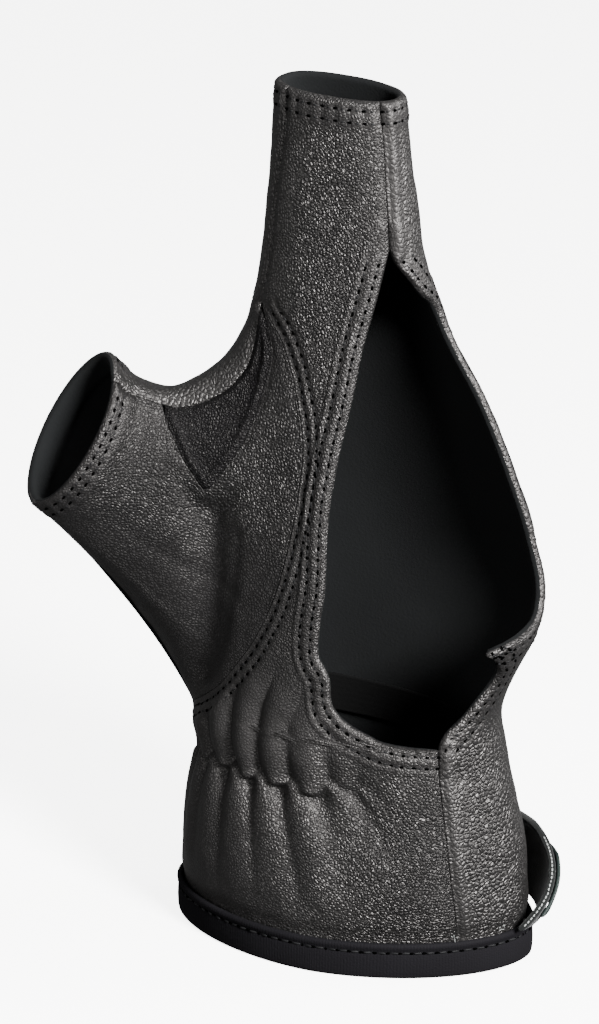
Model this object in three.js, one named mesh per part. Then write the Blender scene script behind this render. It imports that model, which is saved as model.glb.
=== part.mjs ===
import * as THREE from 'three';

// A bow-hand glove for archery, cut from thin leather: a gathered cuff, a long opening over the palm,
// one open finger tube and one open thumb tube. It stands on its cuff with the finger pointing up (+Z).
// The palm faces -Y, the thumb points to -X, and the little-finger side of the hand is +X.
// Lengths are millimetres and angles are degrees, counted round the hand from +X towards +Y.

// Overall sizes
const gloveHeight = 183;
const cuffWidth = 79.2;
const cuffDepth = 49;
const wristWidth = 69.2;
const wristDepth = 40.8;
const palmWidth = 73.4;
const palmDepth = 43;
const fingerWidth = 28.2;
const fingerDepth = 15.2;

// Thumb tube: the middle of its rim, the rim's size, and where the tube points
const thumbRimSide = 53.4;
const thumbRimFront = 25;
const thumbRimHeight = 111.6;
const thumbWidth = 35.8;
const thumbDepth = 20.6;
const thumbTurn = 62;
const thumbLift = 33;
const thumbGrooveAngle = 150;

// Leather and its hems
const leatherThickness = 1.2;
const hemExtra = 0.9;
const hemWidth = 5.5;
const hemStep = 1.2;
const seamGap = 0.3;
const skivedShare = 0.66;
const skivedReach = 0.24;

// Gathers over the wrist
const gatherDepth = 2.4;
const gatherWidth = 5.2;

// Cuff binding, a folded tape that holds the leather's edge
const bindingHeight = 8;
const bindingThickness = 1;
const bindingProud = 0.6;
const bindingInnerDrop = 1;
const bindingChamfer = 0.5;
const bindingSegments = 44;

// Closure tab on the little-finger side of the cuff, and the bare patch sewn on it
const tabHeight = 23;
const tabThickness = 1.6;
const tabFlare = 3.6;
const tabStandOff = 0.5;
const tabBackAngle = 78;
const tabFrontAngleLow = -15;
const tabFrontAngleHigh = 14;
const tabCorner = 9;
const labelThickness = 0.8;
const labelInset = 2.4;

// Elastic band inside the back of the wrist
const elasticWidth = 8;
const elasticThickness = 0.9;
const elasticClearance = 0.5;
const elasticHeight = 42.5;
const elasticStartAngle = 36;
const elasticEndAngle = 160;
const elasticRise = 0.035;

const zones = {
  cuff: { width: cuffWidth, depth: cuffDepth },
  wrist: { width: wristWidth, depth: wristDepth },
  palm: { width: palmWidth, depth: palmDepth },
  finger: { width: fingerWidth, depth: fingerDepth },
};

// Cross sections from the cuff to the fingertip end. The height is a share of the glove's height.
// Width, depth and the two shifts are shares of the zone's width and depth, corner is the exponent of
// the rounded section, and turn is its twist round the upright axis.
const sections = [
  { zone: 'cuff', height: 0.000, width: 1.000, depth: 1.000, side: 0.009, back: -0.027, corner: 1.8, turn: 6 },
  { zone: 'cuff', height: 0.066, width: 0.987, depth: 0.988, side: 0.008, back: -0.024, corner: 1.85, turn: 6 },
  { zone: 'cuff', height: 0.142, width: 0.955, depth: 0.939, side: 0.010, back: -0.020, corner: 1.95, turn: 4.5 },
  { zone: 'cuff', height: 0.208, width: 0.907, depth: 0.878, side: 0.001, back: -0.014, corner: 2.05, turn: 3 },
  { zone: 'wrist', height: 0.251, width: 1.026, depth: 1.015, side: -0.019, back: -0.012, corner: 2.1, turn: 1.5 },
  { zone: 'wrist', height: 0.295, width: 1.000, depth: 1.000, side: -0.022, back: -0.005, corner: 2.15, turn: 0 },
  { zone: 'wrist', height: 0.339, width: 1.009, depth: 1.020, side: 0.007, back: 0.002, corner: 2.2, turn: 0 },
  { zone: 'palm', height: 0.383, width: 0.986, depth: 0.991, side: 0.044, back: 0.012, corner: 2.2, turn: 0 },
  { zone: 'palm', height: 0.437, width: 1.000, depth: 1.000, side: 0.067, back: 0.023, corner: 2.2, turn: 0 },
  { zone: 'palm', height: 0.503, width: 0.948, depth: 0.944, side: 0.057, back: 0.035, corner: 2.2, turn: 0 },
  { zone: 'palm', height: 0.579, width: 0.856, depth: 0.837, side: 0.033, back: 0.047, corner: 2.2, turn: 0 },
  { zone: 'palm', height: 0.656, width: 0.749, depth: 0.698, side: 0.001, back: 0.058, corner: 2.2, turn: 0 },
  { zone: 'palm', height: 0.732, width: 0.608, depth: 0.567, side: -0.042, back: 0.070, corner: 2.2, turn: 0 },
  { zone: 'finger', height: 0.803, width: 1.298, depth: 1.355, side: -0.156, back: 0.197, corner: 2.3, turn: 0 },
  { zone: 'finger', height: 0.874, width: 1.163, depth: 1.184, side: -0.170, back: 0.197, corner: 2.3, turn: 0 },
  { zone: 'finger', height: 0.940, width: 1.071, depth: 1.079, side: -0.181, back: 0.197, corner: 2.3, turn: 0 },
  { zone: 'finger', height: 1.000, width: 1.000, depth: 1.000, side: -0.191, back: 0.197, corner: 2.3, turn: 0 },
];

// Seams and edges round the hand: heights are shares of the glove's height.
const cuffThumbSeam = [
  { height: 0.000, angle: 172 },
  { height: 0.110, angle: 172 },
  { height: 0.208, angle: 182 },
  { height: 0.260, angle: 198 },
];
const thumbArcSeam = [
  { height: 0.260, angle: 198 },
  { height: 0.279, angle: 215 },
  { height: 0.303, angle: 228.5 },
  { height: 0.331, angle: 236 },
  { height: 0.361, angle: 241.5 },
  { height: 0.407, angle: 247 },
  { height: 0.484, angle: 253.5 },
  { height: 0.552, angle: 257.5 },
  { height: 0.620, angle: 259 },
  { height: 0.661, angle: 256 },
  { height: 0.699, angle: 251 },
  { height: 0.727, angle: 243 },
  { height: 0.743, angle: 233 },
  { height: 0.757, angle: 222 },
];
const thumbBackLine = [
  { height: 0.260, angle: 198 },
  { height: 0.295, angle: 191 },
  { height: 0.328, angle: 184 },
  { height: 0.366, angle: 178 },
  { height: 0.407, angle: 172 },
  { height: 0.484, angle: 162 },
  { height: 0.552, angle: 154 },
  { height: 0.620, angle: 151 },
  { height: 0.661, angle: 153 },
  { height: 0.699, angle: 160 },
  { height: 0.727, angle: 172 },
  { height: 0.743, angle: 188 },
  { height: 0.757, angle: 222 },
];
const fingerThumbSeam = [
  { height: 0.757, angle: 222 },
  { height: 0.825, angle: 224 },
  { height: 0.885, angle: 226 },
  { height: 0.945, angle: 231 },
  { height: 1.000, angle: 232 },
];
const cuffOuterSeam = [
  { height: 0.000, angle: 320 },
  { height: 0.055, angle: 319.5 },
  { height: 0.145, angle: 317.5 },
  { height: 0.238, angle: 319.5 },
  { height: 0.273, angle: 322 },
];
const palmOpeningEdge = [
  { height: 0.273, angle: 322 },
  { height: 0.276, angle: 308 },
  { height: 0.279, angle: 301 },
  { height: 0.287, angle: 293.5 },
  { height: 0.299, angle: 285 },
  { height: 0.311, angle: 280 },
  { height: 0.325, angle: 277 },
  { height: 0.350, angle: 274 },
  { height: 0.377, angle: 268.5 },
  { height: 0.404, angle: 267 },
  { height: 0.459, angle: 267.5 },
  { height: 0.560, angle: 269.5 },
  { height: 0.615, angle: 273 },
  { height: 0.672, angle: 280 },
  { height: 0.738, angle: 293 },
  { height: 0.814, angle: 315 },
  { height: 0.836, angle: 322 },
];
const backOpeningEdge = [
  { height: 0.273, angle: 322 },
  { height: 0.279, angle: 323 },
  { height: 0.292, angle: 327 },
  { height: 0.306, angle: 334.5 },
  { height: 0.325, angle: 341 },
  { height: 0.347, angle: 347 },
  { height: 0.366, angle: 345 },
  { height: 0.383, angle: 338 },
  { height: 0.396, angle: 333 },
  { height: 0.402, angle: 346 },
  { height: 0.410, angle: 362 },
  { height: 0.423, angle: 373 },
  { height: 0.442, angle: 377 },
  { height: 0.560, angle: 377 },
  { height: 0.700, angle: 377 },
  { height: 0.754, angle: 375 },
  { height: 0.768, angle: 368 },
  { height: 0.779, angle: 357 },
  { height: 0.801, angle: 341 },
  { height: 0.822, angle: 326 },
  { height: 0.836, angle: 322 },
];
const fingerOuterSeam = [
  { height: 0.836, angle: 322 },
  { height: 0.891, angle: 322.5 },
  { height: 0.948, angle: 324 },
  { height: 1.000, angle: 322.5 },
];

// The base of the thumb is widest at this share of the height.
const loopWidestHeight = 0.620;

// How the thumb tube leaves the hand, from the bottom of its seam (0) to the finger crotch (1).
// Leave is the angle up from level at the hand and lift the angle out of the hand's surface. Reach and
// endReach are shares of the distance to the rim, and rise tilts the tube's end away from its axis.
const thumbBlend = [
  { share: 0.00, leaveFront: 90, leaveBack: 90, lift: 27, reachFront: 0.30, reachBack: 0.30, endReach: 0.33, rise: 12 },
  { share: 0.06, leaveFront: 62, leaveBack: 66, lift: 22, reachFront: 0.31, reachBack: 0.31, endReach: 0.33, rise: 10 },
  { share: 0.14, leaveFront: 36, leaveBack: 40, lift: 13, reachFront: 0.33, reachBack: 0.33, endReach: 0.33, rise: 7 },
  { share: 0.30, leaveFront: 12, leaveBack: 14, lift: 0, reachFront: 0.37, reachBack: 0.37, endReach: 0.33, rise: 1 },
  { share: 0.50, leaveFront: 0, leaveBack: 0, lift: 0, reachFront: 0.40, reachBack: 0.40, endReach: 0.33, rise: 0 },
  { share: 0.75, leaveFront: -14, leaveBack: -25, lift: 0, reachFront: 0.43, reachBack: 0.48, endReach: 0.34, rise: 12 },
  { share: 0.90, leaveFront: -50, leaveBack: -60, lift: 0, reachFront: 0.52, reachBack: 0.56, endReach: 0.38, rise: 29 },
  { share: 1.00, leaveFront: -88, leaveBack: -92, lift: 0, reachFront: 0.60, reachBack: 0.60, endReach: 0.42, rise: 42 },
];

// Seams on the front of the thumb, from the hand (out 0) to the rim (out 1). Each is a share of the
// way up the thumb's base seam: the groove under the finger crotch, and the V of the web gusset.
const thumbGroove = [
  { out: 0.00, up: 1.000 },
  { out: 0.06, up: 0.996 },
  { out: 0.13, up: 0.978 },
  { out: 0.20, up: 0.958 },
  { out: 0.30, up: 0.945 },
  { out: 0.45, up: 0.935 },
  { out: 0.58, up: 0.932 },
  { out: 0.66, up: 0.950 },
  { out: 0.78, up: 0.965 },
  { out: 0.90, up: 0.930 },
  { out: 1.00, up: 0.905 },
];
const gussetSeam = [
  { out: 0.00, up: 1.000 },
  { out: 0.02, up: 0.978 },
  { out: 0.06, up: 0.945 },
  { out: 0.13, up: 0.885 },
  { out: 0.20, up: 0.806 },
  { out: 0.26, up: 0.735 },
  { out: 0.34, up: 0.650 },
  { out: 0.395, up: 0.576 },
  { out: 0.42, up: 0.566 },
  { out: 0.45, up: 0.582 },
  { out: 0.54, up: 0.650 },
  { out: 0.60, up: 0.722 },
  { out: 0.64, up: 0.790 },
  { out: 0.66, up: 0.930 },
];
const gussetStart = 0.02;
const gussetEnd = 0.655;

// Gathers where the elastic pulls the wrist in. Each is a ridge that fades above and below the line.
const gathers = [
  { angle: 200, height: 0.215, depth: 0.55, above: 0.055, below: 0.075 },
  { angle: 213, height: 0.222, depth: 0.80, above: 0.070, below: 0.080 },
  { angle: 226, height: 0.226, depth: 0.90, above: 0.080, below: 0.070 },
  { angle: 239, height: 0.226, depth: 0.95, above: 0.090, below: 0.080 },
  { angle: 251, height: 0.226, depth: 1.00, above: 0.095, below: 0.090 },
  { angle: 263, height: 0.228, depth: 1.00, above: 0.085, below: 0.090 },
  { angle: 275, height: 0.230, depth: 0.85, above: 0.060, below: 0.080 },
];
const pinchHeight = 0.208;
const pinchReach = 0.022;
const pinchDepth = 0.45;
const pinchStart = 190;
const pinchEnd = 288;
const pinchFade = 12;
const foldFade = 2.4;
const seamFade = 0.03;

// Broad dents in the sheet: a hollow under the opening, a valley beside the thumb's base.
const dents = [
  { angle: 288, height: 0.175, depth: 0.75, across: 14, tall: 0.040 },
  { angle: 303, height: 0.085, depth: -0.45, across: 15, tall: 0.060 },
  { angle: 214, height: 0.120, depth: -0.35, across: 16, tall: 0.060 },
];

// Rows of the leather's mesh: each band runs up to a share of the height with so many rows.
const rowBands = [
  { upTo: 0.055, rows: 2, columns: 14 },
  { upTo: 0.142, rows: 3, columns: 20 },
  { upTo: 0.260, rows: 9, columns: 34 },
  { upTo: 0.273, rows: 1, columns: 34 },
  { upTo: 0.328, rows: 6, columns: 24 },
  { upTo: 0.396, rows: 5, columns: 14 },
  { upTo: 0.423, rows: 3, columns: 10 },
  { upTo: 0.480, rows: 2, columns: 8 },
  { upTo: 0.699, rows: 7, columns: 8 },
  { upTo: 0.757, rows: 4, columns: 9 },
  { upTo: 0.836, rows: 4, columns: 10 },
  { upTo: 1.000, rows: 5, columns: 9 },
];
const backColumns = 15;
const thumbBackColumns = 6;
const thumbColumns = [
  0, 0.02, 0.06, 0.13, 0.2, 0.26, 0.34, 0.42, 0.48, 0.54, 0.6, 0.64, 0.66, 0.74, 0.82, 0.91, 1,
];

const radians = THREE.MathUtils.degToRad;
const upright = new THREE.Vector3(0, 0, 1);

// Reads a column of a table at a place between its rows, along a smooth curve through them.
function smoothValue(table, place, value, at) {
  const last = table.length - 1;
  let row = 0;
  while (row < last - 1 && at > table[row + 1][place]) row += 1;
  const step = (index) => table[index + 1][place] - table[index][place];
  const slope = (index) => (table[index + 1][value] - table[index][value]) / step(index);
  const tangent = (index) => {
    if (index === 0) return slope(0);
    if (index === last) return slope(last - 1);
    const before = step(index - 1);
    const after = step(index);
    return (slope(index - 1) * after + slope(index) * before) / (before + after);
  };
  const span = step(row);
  const t = THREE.MathUtils.clamp((at - table[row][place]) / span, 0, 1);
  const t2 = t * t;
  const t3 = t2 * t;
  const start = (2 * t3 - 3 * t2 + 1) * table[row][value] + (t3 - 2 * t2 + t) * span * tangent(row);
  const end = (3 * t2 - 2 * t3) * table[row + 1][value] + (t3 - t2) * span * tangent(row + 1);
  return start + end;
}

// Reads a column of a table along straight lines between its rows.
function tableValue(table, place, value, at) {
  const last = table.length - 1;
  if (at <= table[0][place]) return table[0][value];
  if (at >= table[last][place]) return table[last][value];
  const row = table.findIndex((entry) => entry[place] >= at) - 1;
  const share = (at - table[row][place]) / (table[row + 1][place] - table[row][place]);
  return THREE.MathUtils.lerp(table[row][value], table[row + 1][value], share);
}

const sectionCurves = sections.map((section) => ({
  height: section.height,
  halfWidth: (section.width * zones[section.zone].width) / 2,
  halfDepth: (section.depth * zones[section.zone].depth) / 2,
  side: section.side * zones[section.zone].width,
  back: section.back * zones[section.zone].depth,
  corner: section.corner,
  turn: section.turn,
}));

function foldedPower(value, power) {
  return Math.sign(value) * Math.abs(value) ** power;
}

// Point of the plain hand form, moved outwards by offset.
function formPoint(angle, z, offset) {
  const height = z / gloveHeight;
  const read = (value) => smoothValue(sectionCurves, 'height', value, height);
  const halfWidth = read('halfWidth');
  const halfDepth = read('halfDepth');
  const power = 2 / read('corner');
  const cosine = Math.cos(radians(angle));
  const sine = Math.sin(radians(angle));
  const x = halfWidth * foldedPower(cosine, power);
  const y = halfDepth * foldedPower(sine, power);
  const outX = cosine / halfWidth;
  const outY = sine / halfDepth;
  const length = Math.hypot(outX, outY);
  const onForm = new THREE.Vector3(x + (offset * outX) / length, y + (offset * outY) / length, z);
  onForm.applyAxisAngle(upright, radians(read('turn')));
  return onForm.add(new THREE.Vector3(read('side'), read('back'), 0));
}

// The lower edge of the thumb's base seam round the hand, where the wrist's folds end.
const thumbSeamFoot = [
  ...thumbBackLine.filter((entry) => entry.height <= loopWidestHeight).reverse(),
  ...thumbArcSeam.filter((entry) => entry.height > thumbArcSeam[0].height && entry.height <= loopWidestHeight),
];

function bell(distance, width) {
  return Math.exp(-((distance / width) ** 2));
}

// How far gathers and dents push the leather out of the plain form.
function foldOffset(angle, z) {
  const round = ((angle % 360) + 360) % 360;
  const height = z / gloveHeight;
  const gatherAngle = (360 * gatherWidth) / (Math.PI * (wristWidth + wristDepth)) / 2;
  let offset = 0;
  for (const gather of gathers) {
    const rise = height - gather.height;
    const along = bell(rise, rise > 0 ? gather.above : gather.below);
    offset += gatherDepth * gather.depth * along * bell(round - gather.angle, gatherAngle);
  }
  for (const dent of dents) {
    offset -= gatherDepth * dent.depth * bell(round - dent.angle, dent.across) * bell(height - dent.height, dent.tall);
  }
  const pinchSides =
    THREE.MathUtils.smoothstep(round, pinchStart - pinchFade, pinchStart) *
    (1 - THREE.MathUtils.smoothstep(round, pinchEnd, pinchEnd + pinchFade));
  offset -= gatherDepth * pinchDepth * pinchSides * bell(height - pinchHeight, pinchReach);
  const belowSeam = tableValue(thumbSeamFoot, 'angle', 'height', round) - height;
  const besideThumb = THREE.MathUtils.smoothstep(belowSeam, 0, seamFade);
  return offset * besideThumb * THREE.MathUtils.smoothstep(z, bindingHeight, bindingHeight * foldFade);
}

// The leather steps in where the binding holds it.
function bindingInset(z) {
  const inset = bindingThickness + seamGap - bindingProud;
  return inset * (1 - THREE.MathUtils.smoothstep(z, bindingHeight, bindingHeight * 1.5));
}

function bodyPoint(angle, z) {
  return formPoint(angle, z, foldOffset(angle, z) - bindingInset(z));
}

const angleStep = 0.5;
const heightStep = 0.5;

function bodyFrame(angle, z) {
  const across = bodyPoint(angle + angleStep, z).sub(bodyPoint(angle - angleStep, z)).normalize();
  const up = bodyPoint(angle, z + heightStep).sub(bodyPoint(angle, z - heightStep)).normalize();
  const normal = new THREE.Vector3().crossVectors(across, up).normalize();
  return { across, up, normal };
}

// The thumb tube's own directions: its axis, the way down to its lower seam, and the way to the palm.
const thumbAxis = new THREE.Vector3(
  -Math.cos(radians(thumbTurn)) * Math.cos(radians(thumbLift)),
  -Math.sin(radians(thumbTurn)) * Math.cos(radians(thumbLift)),
  Math.sin(radians(thumbLift)),
);
const thumbDown = new THREE.Vector3(0, 0, -1).addScaledVector(thumbAxis, thumbAxis.z).normalize();
const thumbFront = new THREE.Vector3().crossVectors(thumbAxis, thumbDown).normalize();
const thumbRimMiddle = new THREE.Vector3(-thumbRimSide, -thumbRimFront, thumbRimHeight);

const loopBottom = thumbArcSeam[0].height * gloveHeight;
const loopTop = thumbArcSeam[thumbArcSeam.length - 1].height * gloveHeight;

// Point of the thumb tube: side is its front or back half, up runs from the lower seam to the
// finger crotch, and out runs from the hand to the rim.
function thumbPoint(side, up, out) {
  const z = THREE.MathUtils.lerp(loopBottom, loopTop, up);
  const isFront = side === 'Front';
  const seam = isFront ? thumbArcSeam : thumbBackLine;
  const angle = smoothValue(seam, 'height', 'angle', z / gloveHeight);
  const frame = bodyFrame(angle, z);
  const read = (value) => tableValue(thumbBlend, 'share', value, up);
  const leave = radians(read(`leave${side}`));
  const lift = radians(read('lift'));
  const start = bodyPoint(angle, z);
  const away = frame.across
    .clone()
    .multiplyScalar((isFront ? -1 : 1) * Math.cos(leave))
    .addScaledVector(frame.up, Math.sin(leave))
    .normalize()
    .multiplyScalar(Math.cos(lift))
    .addScaledVector(frame.normal, Math.sin(lift));
  const rimAngle = radians(isFront ? thumbGrooveAngle * up : (thumbGrooveAngle - 360) * up);
  const end = thumbRimMiddle
    .clone()
    .addScaledVector(thumbDown, (thumbWidth / 2) * Math.cos(rimAngle))
    .addScaledVector(thumbFront, (thumbDepth / 2) * Math.sin(rimAngle));
  const rise = radians(read('rise'));
  const arrive = thumbAxis.clone().multiplyScalar(Math.cos(rise)).addScaledVector(thumbDown, -Math.sin(rise));
  const reach = start.distanceTo(end);
  const curve = new THREE.CubicBezierCurve3(
    start,
    start.clone().addScaledVector(away, reach * read(`reach${side}`)),
    end.clone().addScaledVector(arrive, -reach * read('endReach')),
    end,
  );
  return curve.getPoint(out);
}

const shareStep = 0.004;

function thumbSideNormal(side, up, out) {
  const lowUp = Math.max(up - shareStep, 0);
  const highUp = Math.min(up + shareStep, 1);
  const lowOut = Math.max(out - shareStep, 0);
  const highOut = Math.min(out + shareStep, 1);
  const upwards = thumbPoint(side, highUp, out).sub(thumbPoint(side, lowUp, out));
  const outwards = thumbPoint(side, up, highOut).sub(thumbPoint(side, up, lowOut));
  const normal = new THREE.Vector3().crossVectors(outwards, upwards);
  return normal.multiplyScalar(side === 'Front' ? -1 : 1).normalize();
}

// Along the seams where its halves meet, both take the direction between them.
function thumbNormal(side, up, out) {
  if (up > 0 && up < 1) return thumbSideNormal(side, up, out);
  return thumbSideNormal('Front', up, out).add(thumbSideNormal('Back', up, out)).normalize();
}

// The free edges whose leather is turned in and sewn, as chains of points on the leather.
function edgeChain(edge) {
  return edge.map((entry) => bodyPoint(entry.angle, entry.height * gloveHeight));
}

const hemChains = [edgeChain(palmOpeningEdge), edgeChain(backOpeningEdge)];

function distanceToChain(point, chain) {
  const line = new THREE.Line3();
  const nearest = new THREE.Vector3();
  let distance = Infinity;
  for (let index = 0; index < chain.length - 1; index += 1) {
    line.set(chain[index], chain[index + 1]);
    line.closestPointToPoint(point, true, nearest);
    distance = Math.min(distance, nearest.distanceTo(point));
  }
  return distance;
}

// Leather thickness at a point: doubled beside the opening and at the open ends of finger and thumb.
function wallThickness(point) {
  const fingerEnd = gloveHeight - point.z;
  const thumbEnd = -thumbAxis.dot(point.clone().sub(thumbRimMiddle));
  const isOnThumb = point.clone().sub(thumbRimMiddle).length() < thumbWidth;
  const distances = hemChains.map((chain) => distanceToChain(point, chain));
  const nearest = Math.min(fingerEnd, isOnThumb ? Math.abs(thumbEnd) : Infinity, ...distances);
  const fold = 1 - THREE.MathUtils.smoothstep(nearest, hemWidth - hemStep, hemWidth + hemStep);
  return leatherThickness + hemExtra * fold;
}

// An open sheet of outer points, each with its outward normal and the wall's thickness there.
class Sheet {
  constructor() {
    this.points = [];
    this.normals = [];
    this.walls = [];
    this.triangles = [];
    this.known = new Map();
  }

  add(point, normal, wall) {
    const key = point.toArray().map((value) => Math.round(value * 50)).join();
    if (!this.known.has(key)) {
      this.known.set(key, this.points.length);
      this.points.push(point);
      this.normals.push(normal);
      this.walls.push(wall);
    }
    return this.known.get(key);
  }

  addTriangle(a, b, c) {
    if (a !== b && b !== c && c !== a) this.triangles.push([a, b, c]);
  }

  // Joins two rows of points, which may have different counts, with triangles. Seen from outside,
  // the second row lies to the left of the first one's direction.
  join(first, second) {
    let i = 0;
    let j = 0;
    while (i < first.length - 1 || j < second.length - 1) {
      const nextFirst = i < first.length - 1 ? (i + 1) / (first.length - 1) : Infinity;
      const nextSecond = j < second.length - 1 ? (j + 1) / (second.length - 1) : Infinity;
      if (nextFirst <= nextSecond) {
        this.addTriangle(first[i], first[i + 1], second[j]);
        i += 1;
      } else {
        this.addTriangle(first[i], second[j + 1], second[j]);
        j += 1;
      }
    }
  }

  joinRows(rows) {
    for (let index = 0; index < rows.length - 1; index += 1) this.join(rows[index], rows[index + 1]);
  }

  // Edges that only one triangle uses, as start and end in that triangle's direction.
  openEdges() {
    const edges = new Map();
    for (const triangle of this.triangles) {
      triangle.forEach((start, corner) => {
        const end = triangle[(corner + 1) % 3];
        const back = `${end}>${start}`;
        if (edges.has(back)) edges.delete(back);
        else edges.set(`${start}>${end}`, [start, end]);
      });
    }
    return [...edges.values()];
  }

  // Gives the sheet its thickness towards the inside and closes its edges, drawn back by edgeGap.
  toGeometry(edgeGap) {
    const edges = this.openEdges();
    const inwards = new Map();
    for (const [start, end] of edges) {
      for (const index of [start, end]) {
        const along = this.points[end].clone().sub(this.points[start]);
        const inward = new THREE.Vector3().crossVectors(this.normals[index], along).normalize();
        inwards.set(index, (inwards.get(index) ?? new THREE.Vector3()).add(inward));
      }
    }
    const outer = this.points.map((point, index) => {
      const inward = inwards.get(index);
      return inward ? point.clone().addScaledVector(inward.normalize(), edgeGap) : point;
    });
    const inner = outer.map((point, index) =>
      point.clone().addScaledVector(this.normals[index], -this.walls[index]),
    );
    const count = outer.length;
    const faces = [];
    for (const [a, b, c] of this.triangles) {
      faces.push(a, b, c);
      faces.push(a + count, c + count, b + count);
    }
    for (const [a, b] of edges) {
      faces.push(b, a, a + count);
      faces.push(b, a + count, b + count);
    }
    const geometry = new THREE.BufferGeometry();
    const positions = [...outer, ...inner].flatMap((point) => point.toArray());
    geometry.setAttribute('position', new THREE.Float32BufferAttribute(positions, 3));
    geometry.setIndex(faces);
    geometry.computeVertexNormals();
    return geometry;
  }
}

// Heights of the leather's rows, from just inside the binding to the finger rim.
function leatherRows() {
  const rows = [{ z: bindingThickness + seamGap, columns: rowBands[0].columns }];
  for (const band of rowBands) {
    const from = rows[rows.length - 1].z;
    const to = band.upTo * gloveHeight;
    for (let row = 1; row <= band.rows; row += 1) {
      rows.push({ z: THREE.MathUtils.lerp(from, to, row / band.rows), columns: band.columns });
    }
  }
  return rows;
}

const rows = leatherRows();
const sameHeight = 1e-6;
const loopRows = rows.filter((row) => row.z >= loopBottom - sameHeight && row.z <= loopTop + sameHeight);
const upShare = (z) => THREE.MathUtils.clamp((z - loopBottom) / (loopTop - loopBottom), 0, 1);

function boundaryAngle(parts, z) {
  const height = z / gloveHeight;
  const part = parts.find((table) => height <= table[table.length - 1].height + sameHeight) ?? parts.at(-1);
  return smoothValue(part, 'height', 'angle', height);
}

const palmThumbSide = [cuffThumbSeam, thumbArcSeam, fingerThumbSeam];
const palmOuterSide = [cuffOuterSeam, palmOpeningEdge, fingerOuterSeam];
const backOuterSide = [cuffOuterSeam, backOpeningEdge, fingerOuterSeam];
const backThumbSide = [cuffThumbSeam, thumbBackLine, fingerThumbSeam];

function addBodyPoint(sheet, angle, z) {
  const point = bodyPoint(angle, z);
  return sheet.add(point, bodyFrame(angle, z).normal, wallThickness(point));
}

function addThumbPoint(sheet, side, up, out) {
  if (out === 0) {
    const z = THREE.MathUtils.lerp(loopBottom, loopTop, up);
    const seam = side === 'Front' ? thumbArcSeam : thumbBackLine;
    return addBodyPoint(sheet, smoothValue(seam, 'height', 'angle', z / gloveHeight), z);
  }
  // The leather is pared thin beside the sharp fold of the lower seam.
  const point = thumbPoint(side, up, out);
  const skived = THREE.MathUtils.lerp(skivedShare, 1, THREE.MathUtils.smoothstep(up, 0, skivedReach));
  return sheet.add(point, thumbNormal(side, up, out), wallThickness(point) * skived);
}

function shares(count) {
  return Array.from({ length: count + 1 }, (_, index) => index / count);
}

// Palm side of the cuff, palm and finger, from the thumb seams to the opening and the outer seams.
function palmPanel() {
  const sheet = new Sheet();
  const lines = rows.map((row) => {
    const from = boundaryAngle(palmThumbSide, row.z);
    const to = boundaryAngle(palmOuterSide, row.z);
    return shares(row.columns).map((share) => addBodyPoint(sheet, THREE.MathUtils.lerp(from, to, share), row.z));
  });
  sheet.joinRows(lines);
  return sheet.toGeometry(seamGap / 2);
}

// Back of the cuff and hand, both sides of the finger, the back of the thumb and the strip that
// runs over the finger crotch to the thumb's rim, cut in one piece.
function backPanel() {
  const sheet = new Sheet();
  const lines = rows.map((row) => {
    const from = boundaryAngle(backOuterSide, row.z) - 360;
    const to = boundaryAngle(backThumbSide, row.z);
    return shares(backColumns).map((share) => addBodyPoint(sheet, THREE.MathUtils.lerp(from, to, share), row.z));
  });
  sheet.joinRows(lines);
  const thumbLines = loopRows.map((row, index) => {
    const isEdge = index === 0 || index === loopRows.length - 1;
    const outs = isEdge ? thumbColumns : shares(thumbBackColumns);
    return outs.map((out) => addThumbPoint(sheet, 'Back', upShare(row.z), out));
  });
  thumbLines.push(
    thumbColumns.map((out) => addThumbPoint(sheet, 'Front', tableValue(thumbGroove, 'out', 'up', out), out)),
  );
  sheet.joinRows(thumbLines);
  return sheet.toGeometry(seamGap / 2);
}

function thumbFrontTop(out) {
  const groove = tableValue(thumbGroove, 'out', 'up', out);
  return out <= gussetEnd ? Math.min(tableValue(gussetSeam, 'out', 'up', out), groove) : groove;
}

// Front of the thumb, from the curved seam on the palm to the rim, with the V cut out of its top.
function thumbPanel() {
  const sheet = new Sheet();
  const columns = thumbColumns.map((out, index) => {
    const top = thumbFrontTop(out);
    const levels = loopRows
      .map((row) => upShare(row.z))
      .filter((up, row) => index === 0 || row % 2 === 0)
      .filter((up) => up < top - 0.02);
    return [...levels, top].map((up) => addThumbPoint(sheet, 'Front', up, out));
  });
  sheet.joinRows(columns);
  return sheet.toGeometry(seamGap / 2);
}

// The V-shaped gusset between thumb and finger.
function webGusset() {
  const sheet = new Sheet();
  const acrossShares = shares(4);
  const outs = thumbColumns.filter((out) => out >= gussetStart && out < gussetEnd);
  const columns = [...outs, gussetEnd].map((out) => {
    const low = tableValue(gussetSeam, 'out', 'up', out);
    const high = tableValue(thumbGroove, 'out', 'up', out);
    return acrossShares.map((share) => addThumbPoint(sheet, 'Front', THREE.MathUtils.lerp(low, high, share), out));
  });
  sheet.joinRows(columns);
  return sheet.toGeometry(seamGap / 2);
}

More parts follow.
